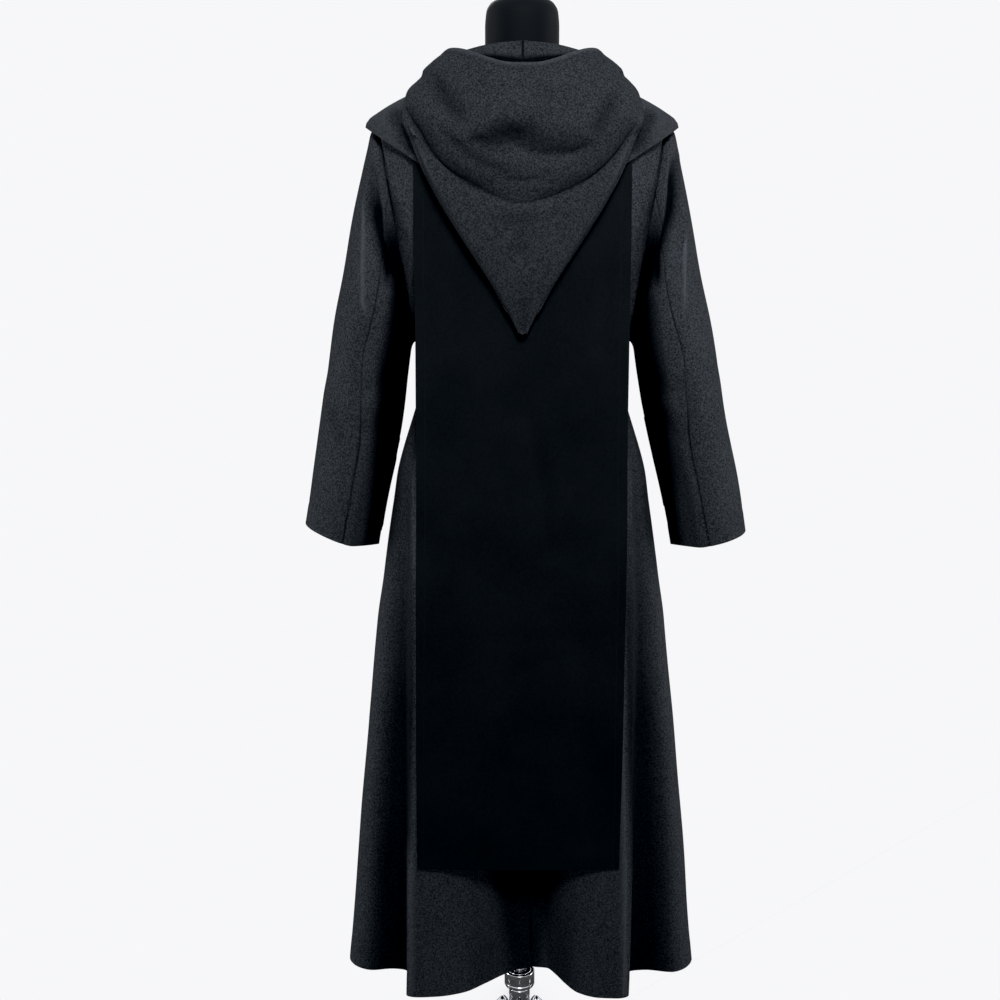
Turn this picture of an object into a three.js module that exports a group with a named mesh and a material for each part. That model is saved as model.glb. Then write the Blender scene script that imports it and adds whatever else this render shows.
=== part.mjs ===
// Monk habit on a dress form: hooded robe, scapular and shoulder cape, front facing -Y.
// Millimetres, +Z up, origin on the floor under the pole. +X is the wearer's left.
import * as THREE from 'three';

// ---- driving sizes ----
const WOOL = 2.2;            // wall of the felted wool
const SCAPULAR_WOOL = 1.6;   // wall of the thinner black cloth
const SEAM = 0.3;            // gap left at every seam
const ARMHOLE_SEAM = 0.95;   // gap round the armhole
const HEM_Z = 239;
const WAIST_Z = 1190;
const UNDERARM = { x: 166, y: 12, z: 1275 };
const SHOULDER_TIP = { x: 219, y: 0, z: 1602 };
const ARMHOLE_DEPTH = { back: 80, front: 70 };
const ARM_RING = 16;         // points round the armhole and the sleeve
const HIND_SEAM = 3;         // sleeve column of the seam down the back of the arm
const FORE_SEAM = 11;        // sleeve column of the seam under the forearm

const MAT = {
  wool: { color: 0x2f3338, roughness: 0.95, metalness: 0 },
  hoodWool: { color: 0x34383e, roughness: 0.95, metalness: 0 },
  scapular: { color: 0x101317, roughness: 0.9, metalness: 0 },
  form: { color: 0x17191c, roughness: 0.55, metalness: 0 },
  chrome: { color: 0xb8bcc2, roughness: 0.15, metalness: 1 },
  rubber: { color: 0x1a1a1b, roughness: 0.8, metalness: 0 },
};

// ---- tables ----
// rows of numbers under the names of their columns
const table = (columns, rows) => rows.map((row) => (
  Object.fromEntries(columns.map((column, i) => [column, row[i]]))
));

// torso and shoulders: half width, depth behind and before the side line
const TORSO = [
  { z: 1050, half: 201, back: 112, front: 117 },
  { z: 1190, half: 164, back: 100, front: 106 },
  { z: 1275, half: 166, back: 109, front: 115 },
  { z: 1340, half: 172, back: 117, front: 123 },
  { z: 1440, half: 190, back: 124, front: 129 },
  { z: 1500, half: 200, back: 125, front: 125 },
  { z: 1560, half: 212, back: 120, front: 113 },
  { z: 1602, half: 219, back: 109, front: 97 },
  { z: 1618, half: 192, back: 103, front: 91 },
  { z: 1632, half: 164, back: 97, front: 86 },
  { z: 1648, half: 126, back: 90, front: 81 },
  { z: 1668, half: 80, back: 80, front: 74 },
];

// back of the skirt: one row a fold line, its place at the hip, knee and hem
const LEVEL_Z = [HEM_Z, 700, 1050];
const BACK_FOLDS = table(['line', 'share', 'hip', 'knee', 'hemLeft', 'hemRight'], [
  ['centre back', 0.000, [0, 109], [-8, 110], [-20, 106], [20, 106]],
  ['hollow', 0.109, [23, 110], [16, 117], [4, 112], [43, 109]],
  ['hollow side', 0.217, [47, 112], [40, 129], [30, 131], [58, 130]],
  ['slope', 0.326, [73, 113], [68, 142], [58, 158], [72, 158]],
  ['slope top', 0.435, [101, 113], [98, 152], [92, 187], [92, 188]],
  ['lobe', 0.548, [131, 112], [133, 158], [134, 200], [125, 204]],
  ['lobe crest', 0.630, [154, 109], [161, 157], [165, 202], [155, 206]],
  ['lobe ridge', 0.687, [171, 101], [177, 150], [184, 195], [173, 197]],
  ['fold wall', 0.726, [175, 92], [179, 128], [185, 158], [175, 160]],
  ['deep fold', 0.765, [180, 84], [184, 106], [189, 117], [180, 119]],
  ['side rise', 0.813, [187, 78], [199, 103], [214, 111], [209, 114]],
  ['side crest', 0.861, [194, 69], [220, 97], [246, 116], [250, 122]],
  ['side lobe', 0.904, [199, 52], [236, 81], [275, 101], [278, 104]],
  ['side lobe edge', 0.952, [201, 28], [245, 47], [288, 68], [290, 70]],
  ['side seam', 1.000, [200, 2], [246, 0], [285, 0], [286, 0]],
]);
const FRONT_FOLDS = table(['line', 'share', 'hip', 'knee', 'hem'], [
  ['side seam', 1.00, [200, 2], [246, 0], [285, 0]],
  ['side', 0.88, [200, 30], [247, 40], [287, 50]],
  ['side lobe', 0.76, [193, 62], [236, 82], [270, 106]],
  ['side slope', 0.64, [179, 86], [210, 110], [230, 138]],
  ['soft trough', 0.52, [158, 101], [181, 122], [196, 144]],
  ['lobe ridge', 0.40, [133, 112], [148, 144], [160, 176]],
  ['lobe', 0.27, [93, 117], [105, 152], [114, 194]],
  ['centre slope', 0.13, [46, 118], [52, 149], [55, 185]],
  ['centre front', 0.00, [0, 117], [0, 146], [0, 178]],
]);
const SKIRT_Z = [239, 365, 490, 610, 725, 840, 945, 1035, 1105, 1160, 1220];
const SHOULDER_Z = [1618, 1632, 1648, 1668];

// sleeve rings: outer and inner point, middle of the arm in Y, depth behind and before it
const SLEEVE = [
  { outer: [232, 1597], inner: [173, 1270], y: 8, back: 88, front: 78, seamShift: 12 },
  { outer: [241, 1566], inner: [177, 1262], y: 10, back: 87, front: 78, seamShift: 19 },
  { outer: [252, 1520], inner: [179, 1250], y: 12, back: 85, front: 77, seamShift: 22 },
  { outer: [267, 1453], inner: [181, 1235], y: 13, back: 82, front: 75, seamShift: 23 },
  { outer: [281, 1383], inner: [184, 1212], y: 14, back: 79, front: 73, seamShift: 25 },
  { outer: [296, 1312], inner: [188, 1180], y: 15, back: 77, front: 72, seamShift: 27 },
  { outer: [308, 1241], inner: [195, 1137], y: 16, back: 75, front: 70, seamShift: 28 },
  { outer: [321, 1168], inner: [205, 1090], y: 17, back: 73, front: 69, seamShift: 29 },
  { outer: [333, 1094], inner: [216, 1042], y: 18, back: 71, front: 68, seamShift: 29 },
  { outer: [345, 1025], inner: [227, 992], y: 19, back: 70, front: 67, seamShift: 29 },
  { outer: [355, 967], inner: [237, 943], y: 20, back: 69, front: 66, seamShift: 29 },
];

// scapular rows: half width, drift to the wearer's left, distance out at the middle and edges
const SCAPULAR_BACK = [
  { z: 455, half: 160, drift: 5, mid: 197, edge: 191 },
  { z: 700, half: 163, drift: 3, mid: 167, edge: 162 },
  { z: 900, half: 164, drift: 1, mid: 145, edge: 139 },
  { z: 1050, half: 164, drift: 0, mid: 131, edge: 120 },
  { z: 1190, half: 164, drift: 0, mid: 124, edge: 108 },
  { z: 1320, half: 164, drift: 0, mid: 125, edge: 106 },
  { z: 1440, half: 164, drift: 0, mid: 128, edge: 106 },
  { z: 1530, half: 164, drift: 0, mid: 127, edge: 104 },
];
const SCAPULAR_FRONT = [
  { z: 455, half: 162, drift: 0, mid: 186, edge: 180 },
  { z: 700, half: 163, drift: 0, mid: 162, edge: 150 },
  { z: 900, half: 164, drift: 0, mid: 141, edge: 129 },
  { z: 1050, half: 164, drift: 0, mid: 129, edge: 112 },
  { z: 1190, half: 164, drift: 0, mid: 126, edge: 104 },
  { z: 1320, half: 164, drift: 0, mid: 131, edge: 103 },
  { z: 1440, half: 164, drift: 0, mid: 133, edge: 100 },
  { z: 1530, half: 164, drift: 0, mid: 126, edge: 94 },
];
const SCAPULAR_Z = [455, 620, 780, 920, 1050, 1180, 1300, 1410, 1510];
const SCAPULAR_SHARES = [1, 0.88, 0.72, 0.49, 0.38, 0.2, 0];

// cape rings, neck to edge: half width, depth behind and before, height at side, back, front
const CAPE = [
  { half: 89, back: 93, front: 87, zSide: 1684, zBack: 1683, zFront: 1679 },
  { half: 118, back: 102, front: 96, zSide: 1673, zBack: 1667, zFront: 1660 },
  { half: 152, back: 113, front: 107, zSide: 1660, zBack: 1642, zFront: 1632 },
  { half: 187, back: 125, front: 118, zSide: 1645, zBack: 1608, zFront: 1596 },
  { half: 219, back: 132.5, front: 130, zSide: 1627, zBack: 1560, zFront: 1545 },
  { half: 239, back: 134, front: 137, zSide: 1612, zBack: 1505, zFront: 1488 },
  { half: 242, back: 135, front: 139, zSide: 1602, zBack: 1446, zFront: 1425 },
];

// hood rows, opening edge to tip: half width, Y of the outer wall, inner wall, side fold and
// throat, degrees the row reaches round from the back, heights of the same places
const HOOD = table(['half', 'out', 'mid', 'side', 'throat', 'reach', 'zOut', 'zIn', 'zSide', 'zFront'], [
  [119, 140, 100, 10, -114, 174, 1683, 1688, 1712, 1692],
  [139, 153, 113, 16, -118, 172, 1650, 1660, 1696, 1674],
  [151, 163, 124, 24, -121, 164, 1614, 1636, 1684, 1661],
  [160, 169, 132, 32, -121, 140, 1580, 1614, 1676, 1667],
  [169, 172, 137, 42, -112, 112, 1552, 1591, 1667, 1667],
  [180, 171, 139, 62, -60, 93, 1524, 1567, 1649, 1649],
  [182, 163, 141, 94, 90, 90, 1492, 1535, 1612, 1612],
  [174, 171, 142, 110, 110, 90, 1468, 1508, 1585, 1585],
  [151, 170, 142, 125, 125, 90, 1425, 1468, 1541, 1541],
  [120, 167.5, 142, 133, 133, 90, 1388, 1426, 1486, 1486],
  [86, 162, 142, 137, 137, 90, 1356, 1382, 1426, 1426],
  [49, 155, 141, 139, 139, 90, 1325, 1337, 1362, 1362],
  [15, 148, 139, 141, 141, 90, 1298, 1300, 1303, 1303],
]);
const HOOD_SHARES = [0.0015, 0.15, 0.31, 0.47, 0.63, 0.79, 0.93];
const HOOD_GAP = 7;          // between the hood's two walls where it wraps the neck

// hood neck band rings, neck seam up over the turned edge and down inside the hood
const BAND = [
  { half: 89.4, back: 93.4, front: 87.4, zSide: 1684.6, zBack: 1683.6, zFront: 1679.6 },
  { half: 87, back: 78, front: 84, zSide: 1696, zBack: 1702, zFront: 1686 },
  { half: 88, back: 67, front: 86, zSide: 1710, zBack: 1720, zFront: 1696 },
  { half: 92, back: 70, front: 90, zSide: 1714, zBack: 1724, zFront: 1700 },
  { half: 97, back: 76, front: 94, zSide: 1711, zBack: 1717, zFront: 1698 },
  { half: 102, back: 84, front: 93, zSide: 1707, zBack: 1700, zFront: 1694 },
  { half: 107, back: 92, front: 96, zSide: 1703, zBack: 1684, zFront: 1690 },
];

// dress form rings: half width, depth behind and before
const FORM = [
  { z: 890, half: 168, back: 100, front: 106 },
  { z: 940, half: 173, back: 103, front: 108 },
  { z: 1010, half: 172, back: 104, front: 108 },
  { z: 1090, half: 160, back: 97, front: 103 },
  { z: 1170, half: 147, back: 88, front: 94 },
  { z: 1220, half: 146, back: 90, front: 96 },
  { z: 1300, half: 152, back: 100, front: 108 },
  { z: 1380, half: 158, back: 108, front: 118 },
  { z: 1440, half: 163, back: 111, front: 120 },
  { z: 1500, half: 172, back: 112, front: 114 },
  { z: 1550, half: 186, back: 108, front: 103 },
  { z: 1582, half: 196, back: 103, front: 93 },
  { z: 1600, half: 196, back: 98, front: 86 },
  { z: 1614, half: 188, back: 92, front: 80 },
  { z: 1628, half: 165.4, back: 86, front: 75 },
  { z: 1644, half: 126, back: 78, front: 70 },
  { z: 1655, half: 92, back: 69, front: 65 },
  { z: 1672, half: 63, back: 60, front: 59 },
  { z: 1700, half: 57, back: 58, front: 57 },
  { z: 1750, half: 57, back: 57, front: 57 },
  { z: 1774, half: 55, back: 55, front: 55 },
  { z: 1788, half: 47, back: 47, front: 47 },
  { z: 1796, half: 32, back: 32, front: 32 },
];

// stand
const POLE_R = 14;
const CUP = { r: 26, bore: 19, bottom: 146, floor: 160, top: 178 };
const HUB = { r: 18, bottom: 96, top: 145.7 };
const LEG_R = 8;
const LEG_PATH = [[24.2, 122], [58, 88], [105, 52], [155, 28], [205, 19], [240, 18]];
const FOOT = { at: 236, r: 15, top: 9.7 };

// ---- helpers ----
const RAD = Math.PI / 180;
const V = (x, y, z) => new THREE.Vector3(x, y, z);
const mirrored = (p) => V(-p.x, p.y, p.z);

// value of a table column between its rows, eased so that it never overshoots
function between(rows, key, column, at) {
  const n = rows.length;
  if (at <= rows[0][key]) return rows[0][column];
  if (at >= rows[n - 1][key]) return rows[n - 1][column];
  let i = 0;
  while (rows[i + 1][key] < at) i += 1;
  const rise = (k) => (rows[k + 1][column] - rows[k][column]) / (rows[k + 1][key] - rows[k][key]);
  const slope = (k) => {
    if (k === 0) return rise(0);
    if (k === n - 1) return rise(n - 2);
    const a = rise(k - 1);
    const b = rise(k);
    return a * b <= 0 ? 0 : (2 * a * b) / (a + b);
  };
  const h = rows[i + 1][key] - rows[i][key];
  const t = (at - rows[i][key]) / h;
  const a = rows[i][column];
  const b = rows[i + 1][column];
  const s = t * t * (3 - 2 * t);
  const hermite = (t - 2 * t * t + t * t * t) * slope(i) + (t * t * t - t * t) * slope(i + 1);
  return a + (b - a) * s + h * hermite;
}

// shared normals, so that two pieces meet at a seam with the same cut edge
const normals = new Map();
const step = (v) => Math.round(v * 100) || 0;
const keyOf = (p) => `${step(p.x)},${step(p.y)},${step(p.z)}`;

function note(grid, closed) {
  const cols = grid[0].length;
  const own = new Map();
  for (let r = 0; r < grid.length - 1; r += 1) {
    for (let c = 0; c < (closed ? cols : cols - 1); c += 1) {
      const a = grid[r][c];
      const b = grid[r][(c + 1) % cols];
      const d = grid[r + 1][c];
      const e = grid[r + 1][(c + 1) % cols];
      const n = e.clone().sub(a).cross(b.clone().sub(d));
      for (const p of [a, b, d, e]) {
        if (!own.has(keyOf(p))) own.set(keyOf(p), V(0, 0, 0));
        own.get(keyOf(p)).add(n);
      }
    }
  }
  own.forEach((n, key) => {
    if (!normals.has(key)) normals.set(key, V(0, 0, 0));
    normals.get(key).add(n.normalize());
  });
}

function mesh(name, points, triangles, matKey) {
  const geometry = new THREE.BufferGeometry();
  const flat = [];
  points.forEach((p) => flat.push(p.x, p.y, p.z));
  let volume = 0;
  triangles.forEach(([a, b, c]) => {
    volume += points[a].dot(points[b].clone().cross(points[c]));
  });
  const order = volume < 0 ? triangles.map(([a, b, c]) => [a, c, b]) : triangles;
  geometry.setAttribute('position', new THREE.Float32BufferAttribute(flat, 3));
  geometry.setIndex(order.flat());
  geometry.computeVertexNormals();
  const m = new THREE.Mesh(geometry, new THREE.MeshStandardMaterial(MAT[matKey]));
  m.name = name;
  return m;
}

// closed wall of cloth under a grid of outer points; zip closes the first row like a bag
function cloth(name, grid, wall, matKey, { closed = false, zip = false, gapAt = () => SEAM / 2 } = {}) {
  const rows = grid.length;
  const cols = grid[0].length;
  const points = [];
  const at = (r, c) => r * cols + ((c + cols) % cols);
  const under = rows * cols;
  // half a seam's gap, square to the cut edge
  const pull = (p, inward, before, after, edgeName) => {
    const along = after.clone().sub(before).normalize();
    const d = inward.clone().sub(p);
    return d.addScaledVector(along, -d.dot(along)).setLength(gapAt(edgeName, p));
  };
  for (let r = 0; r < rows; r += 1) {
    for (let c = 0; c < cols; c += 1) {
      const p = grid[r][c].clone();
      const last = cols - 1;
      const east = closed ? grid[r][(c + 1) % cols] : grid[r][Math.min(c + 1, last)];
      const west = closed ? grid[r][(c + last) % cols] : grid[r][Math.max(c - 1, 0)];
      const north = grid[Math.min(r + 1, rows - 1)][c];
      const south = grid[Math.max(r - 1, 0)][c];
      if (r === 0 && !zip) p.add(pull(grid[r][c], north, west, east, 'hem'));
      if (r === rows - 1) p.add(pull(grid[r][c], south, west, east, 'top'));
      if (!closed && c === 0) p.add(pull(grid[r][c], east, south, north, 'first'));
      if (!closed && c === last) p.add(pull(grid[r][c], west, south, north, 'last'));
      points.push(p);
    }
  }
  for (let r = 0; r < rows; r += 1) {
    for (let c = 0; c < cols; c += 1) {
      const n = normals.get(keyOf(grid[r][c])).clone().normalize();
      points.push(points[at(r, c)].clone().addScaledVector(n, -wall));
    }
  }
  const triangles = [];
  const quad = (a, b, c, d) => triangles.push([a, b, c], [a, c, d]);
  for (let r = 0; r < rows - 1; r += 1) {
    for (let c = 0; c < (closed ? cols : cols - 1); c += 1) {
      const [a, b, d, e] = [at(r, c), at(r, c + 1), at(r + 1, c), at(r + 1, c + 1)];
      // split each square along its shorter diagonal
      if (points[a].distanceTo(points[e]) <= points[b].distanceTo(points[d])) {
        quad(a, d, e, b);
        quad(a + under, b + under, e + under, d + under);
      } else {
        quad(d, e, b, a);
        quad(b + under, e + under, d + under, a + under);
      }
    }
  }
  const edge = (a, b) => quad(a, b, b + under, a + under);
  for (let c = 0; c < (closed ? cols : cols - 1); c += 1) {
    if (!zip) edge(at(0, c), at(0, c + 1));
    edge(at(rows - 1, c + 1), at(rows - 1, c));
  }
  if (!closed) {
    for (let r = 0; r < rows - 1; r += 1) {
      edge(at(r + 1, 0), at(r, 0));
      edge(at(r, cols - 1), at(r + 1, cols - 1));
    }
  }
  if (zip) {
    for (let c = 0; c < cols / 2 - 1; c += 1) {
      const [a, b, d, e] = [c, c + 1, cols - 1 - c, cols - 2 - c];
      quad(a, b, e, d);
      quad(a + under, d + under, e + under, b + under);
    }
    edge(at(0, 0), at(0, cols - 1));
  }
  return mesh(name, points, triangles, matKey);
}

// smooth solid through closed rings, capped at both ends
function turned(name, rings, matKey) {
  const cols = rings[0].length;
  const points = rings.flat();
  const triangles = [];
  for (let r = 0; r < rings.length - 1; r += 1) {
    for (let c = 0; c < cols; c += 1) {
      const d = (c + 1) % cols;
      triangles.push([r * cols + c, (r + 1) * cols + c, (r + 1) * cols + d]);
      triangles.push([r * cols + c, (r + 1) * cols + d, r * cols + d]);
    }
  }
  [rings[0], rings[rings.length - 1]].forEach((ring, end) => {
    const middle = V(0, 0, 0);
    ring.forEach((p) => middle.add(p));
    middle.divideScalar(cols);
    points.push(middle);
    const hub = points.length - 1;
    const start = end ? (rings.length - 1) * cols : 0;
    for (let c = 0; c < cols; c += 1) {
      const pair = [start + c, start + ((c + 1) % cols)];
      triangles.push(end ? [pair[0], hub, pair[1]] : [pair[0], pair[1], hub]);
    }
  });
  return mesh(name, points, triangles, matKey);
}

// ---- robe body ----
const armholeAt = (z) => {
  const t = (z - UNDERARM.z) / (SHOULDER_TIP.z - UNDERARM.z);
  const across = Math.sqrt(Math.max(0, 1 - (2 * t - 1) ** 2)) ** 0.85;
  return { t, across };
};

// the robe's edge at a height: armhole, side seam or shoulder seam
function edgeAt(z, behind) {
  if (z <= UNDERARM.z) {
    const drift = Math.max(0, (z - 1000) / (UNDERARM.z - 1000));
    return { x: between(TORSO, 'z', 'half', z), y: UNDERARM.y * drift };
  }
  if (z >= SHOULDER_TIP.z) return { x: between(TORSO, 'z', 'half', z), y: 0 };
  const { t, across } = armholeAt(z);
  const x = UNDERARM.x + (SHOULDER_TIP.x - UNDERARM.x) * t ** 1.15;
  const depth = behind ? ARMHOLE_DEPTH.back : -ARMHOLE_DEPTH.front;
  return { x, y: UNDERARM.y * (1 - t) + depth * across };
}

// how square the section is: round by the side seam, flatter where the armhole cuts it
function flatness(z) {
  if (z <= UNDERARM.z || z >= SHOULDER_TIP.z) return 0;
  return Math.min(1, (z - UNDERARM.z) / 70, (SHOULDER_TIP.z - z) / 70);
}

function torsoPoint(share, z, behind) {
  const edge = edgeAt(z, behind);
  const middle = between(TORSO, 'z', behind ? 'back' : 'front', z) * (behind ? 1 : -1);
  const flat = flatness(z);
  const a = share * 90 * RAD;
  const x = edge.x * Math.sin(a) ** (0.85 + 0.15 * flat);
  const y = edge.y + (middle - edge.y) * Math.max(0, Math.cos(a)) ** (0.85 + 0.95 * flat);
  return V(x, share === 1 ? edge.y : y, z);
}

// a fold line of the skirt between hem, knee, hip and waist
function foldPoint(fold, hemKey, z, behind) {
  const waist = torsoPoint(fold.share, WAIST_Z, behind);
  const sign = behind ? 1 : -1;
  const stops = [
    { z: LEVEL_Z[0], x: fold[hemKey][0], y: fold[hemKey][1] * sign },
    { z: LEVEL_Z[1], x: fold.knee[0], y: fold.knee[1] * sign },
    { z: LEVEL_Z[2], x: fold.hip[0], y: fold.hip[1] * sign },
    { z: WAIST_Z, x: waist.x, y: waist.y },
  ];
  return V(between(stops, 'z', 'x', z), between(stops, 'z', 'y', z), z);
}

const ARM_Z = [];
for (let k = ARM_RING / 2; k >= 0; k -= 1) {
  const t = (1 + Math.cos((k * 2 * Math.PI) / ARM_RING)) / 2;
  ARM_Z.push(UNDERARM.z + (SHOULDER_TIP.z - UNDERARM.z) * t);
}
const BODY_Z = [...SKIRT_Z, ...ARM_Z, ...SHOULDER_Z];

function bodyRow(folds, hemKey, z, behind) {
  return folds.map((fold) => {
    if (z >= WAIST_Z) return torsoPoint(fold.share, z, behind);
    return foldPoint(fold, hemKey, z, behind);
  });
}

// the side seam belongs to the back and is borrowed by the front
const sideSeam = (z) => bodyRow(BACK_FOLDS.slice(-1), 'hemLeft', z, true)[0];
const backLeft = BODY_Z.map((z) => bodyRow(BACK_FOLDS, 'hemLeft', z, true));
const backRight = BODY_Z.map((z) => {
  const row = bodyRow(BACK_FOLDS, 'hemRight', z, true).map(mirrored).reverse();
  row[row.length - 1] = bodyRow(BACK_FOLDS, 'hemLeft', z, true)[0];
  if (z < UNDERARM.z) row[0] = mirrored(sideSeam(z));
  return row;
});
const front = BODY_Z.map((z) => {
  const half = bodyRow(FRONT_FOLDS, 'hem', z, false);
  const shared = z <= UNDERARM.z || z >= SHOULDER_TIP.z;
  if (shared) half[0] = sideSeam(z);
  return [...half, ...half.slice(0, -1).reverse().map(mirrored)];
});

// ---- sleeves ----
function sleevePoint(ring, k) {
  const under = ARM_RING / 2;
  const weight = k <= HIND_SEAM ? k / HIND_SEAM : Math.max(0, (under - k) / (under - HIND_SEAM));
  const a = ((k * 360) / ARM_RING + ring.seamShift * weight) * RAD;
  const x = (ring.outer[0] + ring.inner[0]) / 2 + ((ring.outer[0] - ring.inner[0]) / 2) * Math.cos(a);
  const z = (ring.outer[1] + ring.inner[1]) / 2 + ((ring.outer[1] - ring.inner[1]) / 2) * Math.cos(a);
  const depth = Math.sin(a) > 0 ? ring.back : ring.front;
  return V(x, ring.y + depth * Math.sin(a), z);
}

function armholeRing() {
  const ring = [];
  for (let k = 0; k < ARM_RING; k += 1) {
    const behind = k <= ARM_RING / 2;
    const z = ARM_Z[behind ? ARM_RING / 2 - k : k - ARM_RING / 2];
    const edge = edgeAt(z, behind);
    ring.push(V(edge.x, edge.y, z));
  }
  return ring;
}

// rows run from the cuff up to the armhole
const sleeveRows = [
  ...SLEEVE.map((ring) => Array.from({ length: ARM_RING }, (_, k) => sleevePoint(ring, k))).reverse(),
  armholeRing(),
];
const columns = (grid, from, to) => grid.map((row) => {
  const list = [];
  for (let c = from; c <= to; c += 1) list.push(row[(c + row.length) % row.length]);
  return list;
});
const flipped = (grid) => grid.map((row) => row.map(mirrored).reverse());
const upperLeft = columns(sleeveRows, FORE_SEAM - ARM_RING, HIND_SEAM).map((row) => row.reverse());
const underLeft = columns(sleeveRows, HIND_SEAM, FORE_SEAM).map((row) => row.reverse());

// ---- scapular ----
const LAYER = 9.5;           // from the robe's outer face to the scapular's over the shoulder
const SCAPULAR_HALF = 164;
const YOKE_Z = 1571;
const NECK_Z = 1668;
const SHOULDER_RISE = [0, 0.3, 0.55, 0.76, 0.9, 1];

// how far out the robe is at a distance from the middle and a height
function torsoOut(x, z, behind) {
  const edge = edgeAt(z, behind);
  const middle = between(TORSO, 'z', behind ? 'back' : 'front', z) * (behind ? 1 : -1);
  const flat = flatness(z);
  const a = Math.asin(Math.min(1, x / edge.x) ** (1 / (0.85 + 0.15 * flat)));
  return edge.y + (middle - edge.y) * Math.max(0, Math.cos(a)) ** (0.85 + 0.95 * flat);
}

// height of the robe's shoulder over a place; higher up the robe is always further in
function shoulderHeight(x, y, behind) {
  let low = YOKE_Z;
  let high = NECK_Z;
  for (let i = 0; i < 40; i += 1) {
    const z = (low + high) / 2;
    const outside = between(TORSO, 'z', 'half', z) < x && z > SHOULDER_TIP.z;
    if (outside || Math.abs(torsoOut(x, z, behind)) < Math.abs(y)) high = z;
    else low = z;
  }
  return low;
}

// the part of a scapular column that goes over the shoulder, or up to the neck hole
function scapularShoulder(share, rise, behind) {
  const x = SCAPULAR_HALF * share;
  const start = torsoOut(x, YOKE_Z, behind);
  const neck = between(TORSO, 'z', 'half', NECK_Z);
  const end = x < neck ? torsoOut(x, NECK_Z, behind) : 0;
  const y = start + (end - start) * rise;
  const z = shoulderHeight(x, y, behind);
  const sign = behind ? 1 : -1;
  if (x >= neck && rise === 1) return V(x, 0, z + LAYER);
  return V(x, y + sign * LAYER * 0.8, z + LAYER * 0.8);
}

function scapularGrid(rows, behind) {
  const sign = behind ? 1 : -1;
  const low = SCAPULAR_Z.map((z) => SCAPULAR_SHARES.map((share) => {
    const mid = between(rows, 'z', 'mid', z);
    const edge = between(rows, 'z', 'edge', z);
    const half = between(rows, 'z', 'half', z);
    return V(half * share, sign * (mid - (mid - edge) * share ** 2), z);
  }));
  const high = SHOULDER_RISE.map((rise) => (
    SCAPULAR_SHARES.map((share) => scapularShoulder(share, rise, behind))
  ));
  const grid = [...low, ...high].map((half) => [...half.slice(0, -1).map(mirrored), ...half.reverse()]);
  SCAPULAR_Z.forEach((z, r) => {
    const drift = between(rows, 'z', 'drift', z);
    grid[r].forEach((p) => p.setX(p.x + drift));
  });
  return behind ? grid : grid.map((row) => row.reverse());
}

// ---- cape, hood and band ----
// a ring: degrees from the back through the wearer's left
function ringPoint(ring, degrees) {
  const s = Math.sin(degrees * RAD);
  const c = Math.cos(degrees * RAD);
  const depth = c > 0 ? ring.back : ring.front;
  const zEnd = c > 0 ? ring.zBack : ring.zFront;
  const soften = (v) => Math.sign(v) * Math.abs(v) ** 0.9;
  const level = Math.abs(s) < 1e-9 ? zEnd : zEnd + (ring.zSide - zEnd) * Math.abs(soften(s));
  return V(ring.half * soften(s), depth * soften(c), level);
}

const around = (from, to, count) => (
  Array.from({ length: count + 1 }, (_, i) => from + ((to - from) * i) / count)
);
const capeGrid = [...CAPE].reverse().map((ring) => around(0, 345, 23).map((d) => ringPoint(ring, d)));

function hoodRow(row) {
  const place = (f, inner) => {
    const a = f * row.reach * RAD;
    const s = Math.sin(a) ** 0.95;
    const c = Math.abs(Math.cos(a));
    const near = inner ? row.mid : row.out;
    const zNear = inner ? row.zIn : row.zOut;
    const gap = inner ? HOOD_GAP * Math.min(1, Math.max(0, (row.reach - 90) / 60)) : 0;
    if (a <= 90 * RAD) {
      const y = row.side + (near - row.side) * c ** (inner ? 0.8 : 0.7);
      return V((row.half - gap) * s, y, zNear + (row.zSide - zNear) * s ** 1.5);
    }
    const y = row.side + (row.throat + gap - row.side) * c ** 0.9;
    return V((row.half - gap) * s, y, row.zSide + (row.zFront - row.zSide) * c);
  };
  const inner = HOOD_SHARES.map((f) => place(f, true));
  const outer = [...HOOD_SHARES].reverse().map((f) => place(f, false));
  const left = [...inner, place(1, false), ...outer.slice(0, -1)];
  return [...left, place(0, false), ...left.map(mirrored).reverse()];
}
const hoodGrid = [...HOOD].reverse().map((row) => hoodRow(row));

const bandGrid = (side) => BAND.map((ring) => around(0, 180, 10).map((d) => ringPoint(ring, side * d)));

// ---- stand ----
function roundRings(rows, count, power) {
  return rows.map((row) => Array.from({ length: count }, (_, i) => {
    const a = (i * 2 * Math.PI) / count;
    const soft = (v) => Math.sign(v) * Math.abs(v) ** power;
    const depth = Math.cos(a) > 0 ? row.back : row.front;
    return V(row.half * soft(Math.sin(a)), depth * soft(Math.cos(a)), row.z);
  }));
}

function lathe(name, profile, matKey, count = 40) {
  const shape = profile.map(([r, z]) => new THREE.Vector2(r, z));
  const points = [];
  const triangles = [];
  const ids = shape.map((p) => {
    if (p.x === 0) {
      points.push(V(0, 0, p.y));
      return Array(count).fill(points.length - 1);
    }
    return Array.from({ length: count }, (_, i) => {
      const a = (i * 2 * Math.PI) / count;
      points.push(V(p.x * Math.cos(a), p.x * Math.sin(a), p.y));
      return points.length - 1;
    });
  });
  for (let k = 0; k < ids.length - 1; k += 1) {
    for (let i = 0; i < count; i += 1) {
      const j = (i + 1) % count;
      const [a, b, c, d] = [ids[k][i], ids[k][j], ids[k + 1][j], ids[k + 1][i]];
      if (a !== b) triangles.push([a, b, c]);
      if (c !== d) triangles.push([a, c, d]);
    }
  }
  return mesh(name, points, triangles, matKey);
}

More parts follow.
